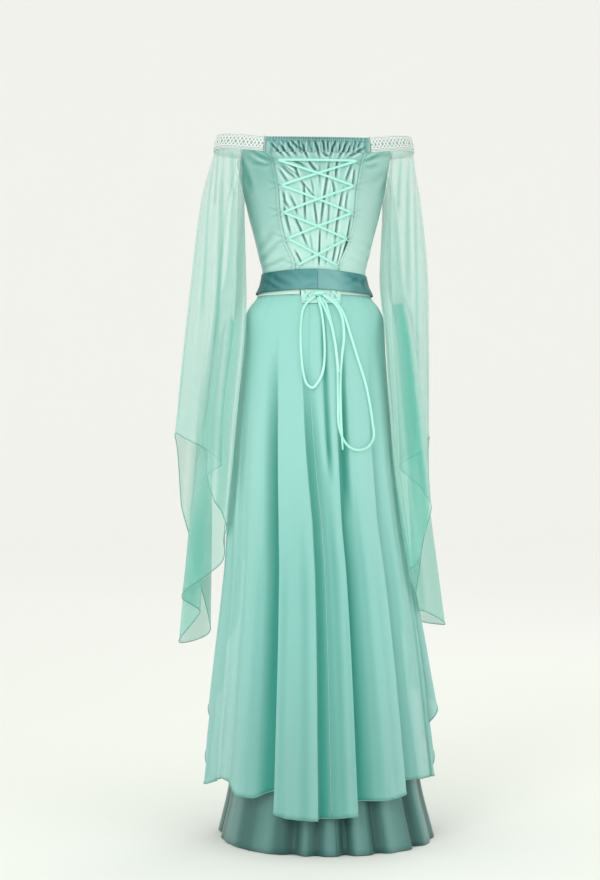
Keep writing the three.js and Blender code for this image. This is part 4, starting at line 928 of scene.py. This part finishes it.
for hand, side in hands:
    name = "overskirt_" + hand
    ends = sorted((side * centreGap, side * overskirt["frontAngle"]))
    angle = closeColumns(*ends, overskirt["columns"])[::side]
    v = np.linspace(0, 1, overskirt["rows"])[:, None] ** 1.05
    points, shade = overskirtPlace(angle[None, :], v)
    half = clothPiece(name + "_chiffon", points, shade, overskirtCloth, "overskirt_chiffon", name,
                      side, cut["chiffon"])
    if side < 0:  # the centre-back seam, a little puckered, with a painted highlight
        tubePiece("overskirt_seam", [edgeTube(points[1:-1, 0], overskirt["seamTube"])],
                               overskirtCloth, name, overskirt["seamPaintedHighlight"])
    edge = np.concatenate([points[-1], points[::-1, -1][1:]])
    rolled = tubePiece(name + "_hem", [edgeTube(edge, overskirt["hemTube"])], hemCloth,
                       name)
print("overskirt made")


# Underskirt: satin gores inside the overskirt, with full folds at the hem
underskirt = {
    "rows": 76, "sway": 9, "paintedLightDepth": 0.8,
    "foldsFrom": (-420, 950), "swayFrom": (-1000, 376), "paintedLightFrom": (-1180, 110),
    "finish": {"top": -0.3, "bottom": -1.38,
               "colours": [(0.0, "86bdb2"), (0.7, "487f7a"), (1.0, "366a66")],
               "shadeAndWeaveColour": "124643", "paintedHighlightColour": "86bab4", "streakColour": "7fb0a7",
               "paintedShadeShare": 0.9, "paintedHighlightShare": 0.75, "roughness": 0.32, "sheen": 0.15,
               "pitch": 0.0007, "streak": 0.1}}
underskirtCloth = clothMaterial("underskirtSatin", underskirt["finish"])
underFolds = rows(
    "angle half deep", (-150, 10, 12), (-118, 9, 14), (-88, 8, 12), (-62, 9, 4), (-40, 7, 3),
    (-22.4, 4.6, 15), (-10.4, 3.6, 9), (4.7, 3.4, 15), (21.5, 4, 13), (46, 4, 14), (66, 6, 8),
    (92, 9, 13), (121, 9, 14), (152, 10, 12), (180, 9, 13))
# smaller folds near the hem, then broad painted highlights and painted shade on the satin, by angle
underCreases = rows(
    "angle half deep start", (-134, 5, 4, -1000), (-74, 5, 4, -1000), (-50, 4, 2, -1100),
    (-30, 2.4, 2.4, -1150), (13, 2.6, 2, -1120), (33, 3.6, 2.4, -1060), (78, 5, 4, -960),
    (137, 5, 4, -900))
underPaintedLights = profile(
    "angle tone", (-180, 0), (-100, 0), (-74, 0.1), (-64, -0.6), (-50, 0.35), (-38, -0.6),
    (-27, 0.5), (-16, -0.35), (-10, 0.4), (-3, -0.3), (4, 0.5), (12, -0.6), (20, 0.3), (31, -0.65),
    (44, 0.5), (57, -0.4), (72, 0.2), (100, 0), (268, 0))
underInset = profile(
    "z inset", (-309, 1.75), (-360, 6.5), (-520, 24), (-800, 34), (-1150, 36), (-1270, 33),
    (-1376, 17))


def underskirtPlace(angle, v):
    top = cut["waistSeam"] - cut["seam"] - 0.3
    z = top + (cut["underskirtHem"] - top) * v
    depth = np.zeros(np.broadcast(angle, z).shape)
    for f in underFolds:
        away = np.abs((angle - f["angle"] + 540) % 360 - 180) / f["half"]
        grow = smooth(below(z, *underskirt["foldsFrom"]))
        depth = depth + f["deep"] * grow * np.exp(-away ** 2 * 1.2)
    fine = np.zeros(depth.shape)
    for f in underCreases:
        away = np.abs((angle - f["angle"] + 540) % 360 - 180) / f["half"]
        grow = smooth(below(z, f["start"], 260))
        fine = fine + f["deep"] * grow * (hump(away) - 0.4 * hump(away - 2))
    points = bodyPoint(angle, z, -underInset(z) - depth - np.maximum(fine, -1.2))
    points[..., 0] += underskirt["sway"] * smooth(below(z, *underskirt["swayFrom"]))
    # painted shade in the folds, and near the hem painted highlights and shade by angle
    paintedLights = underskirt["paintedLightDepth"] * underPaintedLights(angle) * smooth(below(z, *underskirt["paintedLightFrom"]))
    return points, (depth + fine) / 11 - 0.2 + paintedLights


v = np.linspace(0, 1, underskirt["rows"])[:, None] ** 0.85
gores = rows("name low high columns wide", ("underskirt_back_left", -91.9, -centreGap, 120, 0.34),
             ("underskirt_back_right", centreGap, 91.9, 120, 0.34),
             ("underskirt_front", 92.1, 267.9, 170, 0.66))
for gore in gores:
    angle = np.linspace(gore["low"], gore["high"], gore["columns"])[None, :]
    piece = clothPiece(gore["name"] + "_satin", *underskirtPlace(angle, v), underskirtCloth,
                       "underskirt_satin", gore["name"])
print("underskirt made")


# Sleeves: sheer and open, in fold lines round the arm. "top" runs round the armhole
sleeve = {
    "between": 13, "rows": 90, "capZ": -110, "elbowZ": -300, "wristZ": -580, "clear": 4.5,
    "armGap": 1.6, "hemTube": 0.9,
    # the inner folds lie farther back, behind the skirt's side, and are painted a deeper green for their
    # shade and the layers of sheer cloth seen through
    "wrap": {-1: 66, 1: 96}, "wrapAt": 12.6, "wrapHalf": 1.9, "wrapFrom": (-250, 160),
    "wrapEnd": {-1: (-640, 200), 1: (-900, 200)},
    "innerPaintedShade": 0.8, "innerAt": 12.8, "innerHalf": 1.6, "innerFrom": (-50, 80),
    # and so is the hanging flap
    "flapPaintedShade": {-1: 0.5, 1: 0.35}, "flapAt": 8, "flapHalf": 4,
    "flapFrom": {-1: (-640, 160), 1: (-540, 160)},
    "backAngle": 65.6, "frontAngle": 118.4,  # where the armhole meets the trim
    "finish": {"top": -0.02, "bottom": -0.98, "drift": 0.1, "alpha": 0.3,
               "colours": [(0.0, "d4ece5"), (0.4, "caebe4"), (0.65, "bce9e0"), (1.0, "a8e3d7")],
               "shadeAndWeaveColour": "58cdb9", "paintedHighlightColour": "e6f8f4", "streakColour": "d6f4ee",
               "paintedShadeShare": 0.95, "paintedHighlightShare": 0.6, "roughness": 0.55, "sheen": 0.3, "pitch": 0.0007,
               "streak": 0.14, "waviness": 0.003}}
sleeveCloth = clothMaterial("sleeveChiffon", sleeve["finish"])
foldColumns = "top elbowOut elbowY wristOut wristY hemZ hemOut hemY"
sleeveFolds = {
    -1: rows(foldColumns,
             (0.02, 158, -44, 185, -46, -640, 186, -48), (0.09, 188, -40, 217, -34, -612, 218, -34),
             (0.15, 211, -47, 239, -48, -600, 240, -49), (0.2, 231, -33, 259, -30, -590, 260, -30),
             (0.26, 247, -8, 277, -8, -582, 277, -8), (0.32, 243, 22, 270, 26, -625, 271, 28),
             (0.38, 228, 44, 250, 46, -730, 262, 60), (0.44, 206, 50, 222, 62, -860, 232, 92),
             (0.5, 186, 60, 200, 78, -985, 206, 104), (0.56, 196, 46, 232, 56, -1003, 270, 72),
             (0.62, 176, 36, 204, 40, -940, 228, 50), (0.68, 182, 22, 224, 26, -904, 264, 32),
             (0.75, 141, 14, 166, 16, -838, 184, 18), (0.82, 139, -4, 163, -4, -760, 178, -4),
             (0.88, 168, -14, 196, -12, -712, 200, -12), (0.95, 180, -26, 212, -24, -664, 214, -24)),
    1: rows(foldColumns,
            (0.02, 151, -44, 164, -50, -650, 166, -54), (0.09, 175, -40, 182, -40, -633, 183, -42),
            (0.15, 196, -47, 199, -49, -622, 199, -50), (0.2, 214, -33, 215, -33, -608, 214, -33),
            (0.26, 229, -6, 231, -8, -588, 228, -8), (0.32, 227, 22, 232, 24, -630, 234, 26),
            (0.38, 215, 42, 226, 46, -720, 240, 58), (0.44, 196, 50, 206, 60, -850, 226, 88),
            (0.5, 180, 60, 194, 74, -960, 222, 106), (0.56, 190, 46, 224, 56, -972, 278, 76),
            (0.62, 172, 36, 200, 42, -944, 236, 52), (0.68, 142, 22, 162, 26, -926, 184, 34),
            (0.75, 133, 6, 147, 10, -872, 166, 14), (0.82, 146, -6, 168, -4, -822, 200, -2),
            (0.88, 176, -16, 212, -14, -724, 223, -14), (0.95, 160, -28, 186, -28, -684, 204, -30))}
# softer creases along the sleeves: fold place, height shares of start and end, half width, depth
sleeveCreases = {
    -1: rows(
        "at start end half deep",
        (0.4, 0, 0.16, 0.16, 3), (1.1, 0, 0.7, 0.2, 3.4), (1.7, 0, 0.2, 0.16, 3),
        (2.6, 0, 0.6, 0.2, 2.6), (4.5, 0.05, 0.9, 0.26, 3), (6.5, 0, 1, 0.26, 4.2),
        (8.4, 0.1, 1, 0.26, 4), (10.5, 0.2, 1, 0.26, 4), (12.5, 0.1, 1, 0.26, 4),
        (13.5, 0.05, 1, 0.24, 4), (15.3, 0, 0.5, 0.2, 3)),
    1: rows(
        "at start end half deep",
        (0.5, 0, 0.2, 0.16, 3), (1.3, 0, 0.5, 0.2, 3), (2.3, 0.05, 0.9, 0.24, 3),
        (4.4, 0.1, 0.9, 0.26, 3), (6.5, 0.1, 1, 0.26, 4), (8.5, 0.1, 1, 0.26, 4),
        (10.4, 0.2, 1, 0.26, 4), (11.6, 0.1, 1, 0.24, 4.4), (13.4, 0.05, 1, 0.24, 4),
        (14.5, 0.1, 1, 0.24, 3.4), (15.4, 0, 0.4, 0.18, 3))}


def alongFolds(folds, at, name):  # smooth closed line through one column of the folds
    values = np.array([f[name] for f in folds], float)
    i = np.floor(at).astype(int)
    a, b, c, d = (values[(i + k) % len(values)] for k in (-1, 0, 1, 2))
    return cubic(at - i, b, c, (c - a) * 0.42, (d - b) * 0.42)


def armholePoint(share):
    s, back, front = share % 1, sleeve["backAngle"], sleeve["frontAngle"]
    if s < 0.5:
        angle = back + (front - back) * (s / 0.5)
        point = bodyPoint(angle, trimEnd(angle) - cut["seam"], -0.4)
        point[0] += sleeve["armGap"] * (1 - math.sin(math.pi * s * 2))
        return point
    dip = math.sin(math.pi * (s - 0.5) * 2)
    start = trimEnd(front + (back - front) * (s - 0.5) * 2) - cut["seam"]
    z = start + (cut["armpit"] - start) * dip ** 0.8
    point = bodyPoint((armholeFront if s < 0.75 else armholeBack)(z), z)
    point[0] += sleeve["armGap"]
    return point


def keepOff(points, side, v):  # clear of the skirt and bodice beside it
    drift = body["drift"](points[..., 2]) * side
    x, y = points[..., 0] - drift, points[..., 1]
    radius = np.hypot(x, y)
    angle = np.degrees(np.arctan2(x, -y))
    hem = hemHeight(angle * side)
    wave = np.maximum(0, hemWave(angle * side))
    fall = np.clip((cut["waistSeam"] - points[..., 2]) / (cut["waistSeam"] - hem), 0, 1)
    need = bodyRadius(angle, points[..., 2]) + sleeve["clear"] + wave * fall ** 1.6
    push = np.maximum(0, need - radius) * smooth(v * 6)
    points[..., 0] = drift + x * (1 + push / radius)
    points[..., 1] *= 1 + push / radius
    points[..., 0] *= side
    return points


def sleevePlace(side):
    folds = sleeveFolds[side]
    places = np.linspace(0, len(folds), len(folds) * sleeve["between"], endpoint=False)
    v = np.linspace(0, 1, sleeve["rows"]) ** 0.95
    block = np.zeros((len(v), len(places), 3))
    for j, at in enumerate(places):
        value = {key: float(alongFolds(folds, np.array(at), key)) for key in foldColumns.split()}
        i = int(at)
        here, following = folds[i]["top"], folds[(i + 1) % len(folds)]["top"]
        top = armholePoint(here + ((following - here + 1) % 1) * (at - i))
        z = top[2] + (value["hemZ"] - top[2]) * v
        for axis, k in (("Out", 0), ("Y", 1)):
            way = [(top[2], top[k])]
            if top[2] > sleeve["capZ"] + 25:
                way.append((sleeve["capZ"], (top[k] + value["elbow" + axis]) / 2))
            way += [(sleeve["elbowZ"], value["elbow" + axis]), (sleeve["wristZ"], value["wrist" + axis])]
            if value["hemZ"] < sleeve["wristZ"] - 30:
                way.append((value["hemZ"], value["hem" + axis]))
            block[:, j, k] = smoothLine(*zip(*way[::-1]))(z)
        block[:, j, 2] = z
        wrap = sleeve["wrap"][side] * hump(at - sleeve["wrapAt"], sleeve["wrapHalf"])
        ends = 1 - smooth(below(z, *sleeve["wrapEnd"][side]))
        block[:, j, 1] -= wrap * smooth(below(z, *sleeve["wrapFrom"])) * ends
    lift = np.zeros(block.shape[:2])
    for c in sleeveCreases[side]:
        away = ((places - c["at"] + len(folds) / 2) % len(folds) - len(folds) / 2) / c["half"]
        along = (v - c["start"]) / (c["end"] - c["start"])
        strength = smooth(along * 3 + 0.2) * (1 - 0.8 * smooth((along - 0.85) * 6) * (c["end"] < 0.95))
        shape = hump(away) - 0.5 * hump(np.abs(away) - 1.9)
        lift -= c["deep"] * strength[:, None] * shape[None, :]
    closed = np.concatenate([block[:, -1:], block, block[:, :1]], axis=1)
    normal = outwardNormal(closed)[:, 1:-1]
    block = block + normal * (lift * smooth(v * 8)[:, None])[..., None]
    height = block[..., 2]
    # painted shade: a deeper green on the inner folds and the hanging flap, darker in the creases
    inner = hump(places - sleeve["innerAt"], sleeve["innerHalf"])
    inner = sleeve["innerPaintedShade"] * inner * smooth(below(height, *sleeve["innerFrom"]))
    flap = sleeve["flapPaintedShade"][side] * hump(places - sleeve["flapAt"], sleeve["flapHalf"])
    flap = flap * smooth(below(height, *sleeve["flapFrom"][side]))
    return keepOff(block, side, v[:, None]), inner + flap - lift / 3.4


for hand, side in hands:
    name = "sleeve_" + hand
    points, shade = sleevePlace(side)
    cloth = clothPiece(name + "_chiffon", points, shade, sleeveCloth, "sleeve_chiffon", name, side,
                       cut["chiffon"], 0.0, closed=True)
    edge = np.concatenate([points[-1], points[-1][:1]])
    rolled = tubePiece(name + "_hem", [edgeTube(edge, sleeve["hemTube"])], hemCloth,
                       name)
print("sleeves made")


# Lacing down the back, its loops, and the knot with the crossed ends on the tab
lacing = {"lift": 2.6, "over": 1.7, "loopThick": 1.6}


def laceRun(start, end, cross):
    t = np.linspace(0, 1, 9)
    lift = lacing["lift"] + cross * hump(t - 0.5, 0.16)
    return onBack(start[0] + (end[0] - start[0]) * t, start[1] + (end[1] - start[1]) * t, lift)


pairs = [(row["half"], row["z"]) for row in loopPairs]
runs = [laceRun((-pairs[0][0], pairs[0][1]), pairs[0], 0)]
for i, ((half, z), (nextHalf, nextZ)) in enumerate(zip(pairs[:-1], pairs[1:])):
    over = lacing["over"] if i % 2 == 0 else 0
    runs.append(laceRun((-half, z), (nextHalf, nextZ), over))
    runs.append(laceRun((half, z), (-nextHalf, nextZ), lacing["over"] - over))
tubes = [ribbonRings(run, cut["ribbonWidth"], cut["ribbon"] + 0.3, 2.0)[0] for run in runs]
tubePiece("back_lacing_ribbon", tubes, ribbonCloth, "back_lacing")
for hand, side in hands:
    for k, pair in enumerate(loopPairs):
        name = f"loop_{hand}_{k + 1}"
        half, z, rise = pair["half"], pair["z"], lacing["lift"] + 1.9
        points = [onBack(side * (half + out), z + up, lift) for out, up, lift in
                  ((9, 5, 1), (3, 4.6, rise), (-3, 0, rise + 0.3), (3, -4.6, rise), (9, -5, 1))]
        rings = ribbonRings(points, lacing["loopThick"], lacing["loopThick"], 0.9,
                            section=roundSection)[0]
        tubePiece(name + "_tube", [rings], insertCloth, name)

knotSection = [(-1, -0.4), (-0.6, 0.7), (0.6, 0.7), (1, -0.4), (0, -0.8)]
knotSize = np.array([knot["across"], knot["out"], knot["up"]])
knotMesh = newMesh()
tab, centre = insert["tabCentre"], knot["x"]
for side in (-1, 1):
    corner = onBack(tab + side * 34, -322, 5)
    for points in ([onBack(tab + side * 20, -302.4, 4.8), onBack(tab + side * 28, -311, 4.8), corner],
                   [corner, onBack(tab + side * 20, -318, 4.9), onBack(centre + side * 4, -310.5, 5.2)]):
        rings = ribbonRings(points, cut["ribbonWidth"] * 0.8, cut["ribbon"] + 0.3, 1.5)[0]
        addSurface(knotMesh, rings, closedAcross=True, capEnds=True)
turns = rows("tilt size width", (18, 0.98, 6.5), (-26, 0.9, 6.0), (74, 0.8, 7.0), (-68, 0.72, 6.0))
for wrap in turns:
    way = np.linspace(0, 2 * math.pi, 33)
    tilt = math.radians(wrap["tilt"])
    flat = np.stack([np.cos(way) * math.cos(tilt), np.sin(way), np.cos(way) * math.sin(tilt)], -1)
    ring = knotCentre + flat * knotSize * wrap["size"]
    outward = unit(flat / knotSize)
    tangent = unit(np.gradient(ring, axis=0))
    across = np.cross(tangent, outward)
    rings = np.stack([ring + across * a * wrap["width"] / 2 + outward * b * 0.9
                      for a, b in knotSection], 1)
    addSurface(knotMesh, rings, closedAcross=True)
knotPiece = makeObject("bow_knot_ribbon", knotMesh, ribbonCloth)
finish(knotPiece, "bow_knot")
print("lacing and knot made")


# Floor and backdrop: one pale sweep, and plain soft light
studio = {"floor": -1.3775, "wide": 36, "near": 18, "far": 16, "high": 16, "bend": 6,
          "colour": "fcfcfa", "floorColour": "f2f4ef", "grainColour": "f4f5f2",
          "sky": "f4f5f1", "skyStrength": 1.0, "aim": -0.6}
low, far, half = studio["floor"], studio["far"], studio["wide"] / 2
sweepMesh = bpy.data.meshes.new("studio_sweep")
sweepMesh.from_pydata(
    [(x, y, z) for y, z in ((-studio["near"], low), (far, low), (far, low + studio["high"]))
     for x in (-half, half)], [], [(0, 1, 3, 2), (2, 3, 5, 4)])
floor = bpy.data.objects.new("studio_sweep", sweepMesh)
bpy.context.collection.objects.link(floor)
bend = floor.modifiers.new("bend", "BEVEL")
bend.width = studio["bend"]
bend.segments = 24
applyModifiers(floor)
floor.data.polygons.foreach_set("use_smooth", [True] * len(floor.data.polygons))
paper, tree, shader = newMaterial("palePaper", 0.9, 0.0, 1.0, 0.1)
place = addNode(tree, "TexCoord").outputs["Object"]
away = addNode(tree, "VectorMath", Vector=place)
away.operation = "LENGTH"
farther = mapRange(tree, away.outputs["Value"], 2.5, 5.5, 0.0, 1.0)  # metres from the gown
paperTone = mixColour(tree, farther, studio["floorColour"], studio["colour"])
grain = mapRange(tree, cloud(tree, place, 1.2), 0.3, 0.7, 0.0, 0.05)
feed(tree, shader.inputs["Base Color"], mixColour(tree, grain, paperTone, studio["grainColour"]))
floor.data.materials.append(paper)

world = bpy.data.worlds.new("studioWorld")
scene.world = world
world.use_nodes = True
sky = world.node_tree.nodes["Background"]
sky.inputs["Color"].default_value = (*srgb(studio["sky"]), 1)
sky.inputs["Strength"].default_value = studio["skyStrength"]
lamps = rows("name x y z size power", ("keyLamp", -2.0, -3.4, 1.4, 1.6, 41),
             ("fillLamp", 2.8, -2.6, 0.4, 2.4, 12), ("rimLamp", 1.6, 2.6, 1.8, 1.6, 16))
for lamp in lamps:
    light = bpy.data.lights.new(lamp["name"], "AREA")
    light.size = lamp["size"]
    light.energy = lamp["power"]
    holder = bpy.data.objects.new(lamp["name"], light)
    bpy.context.collection.objects.link(holder)
    holder.location = (lamp["x"], lamp["y"], lamp["z"])
    aim = Vector((0, 0, studio["aim"])) - holder.location
    holder.rotation_euler = aim.to_track_quat("-Z", "Y").to_euler()
scene.view_settings.view_transform = "Standard"
scene.cycles.transparent_max_bounces = 32
print("studio made")
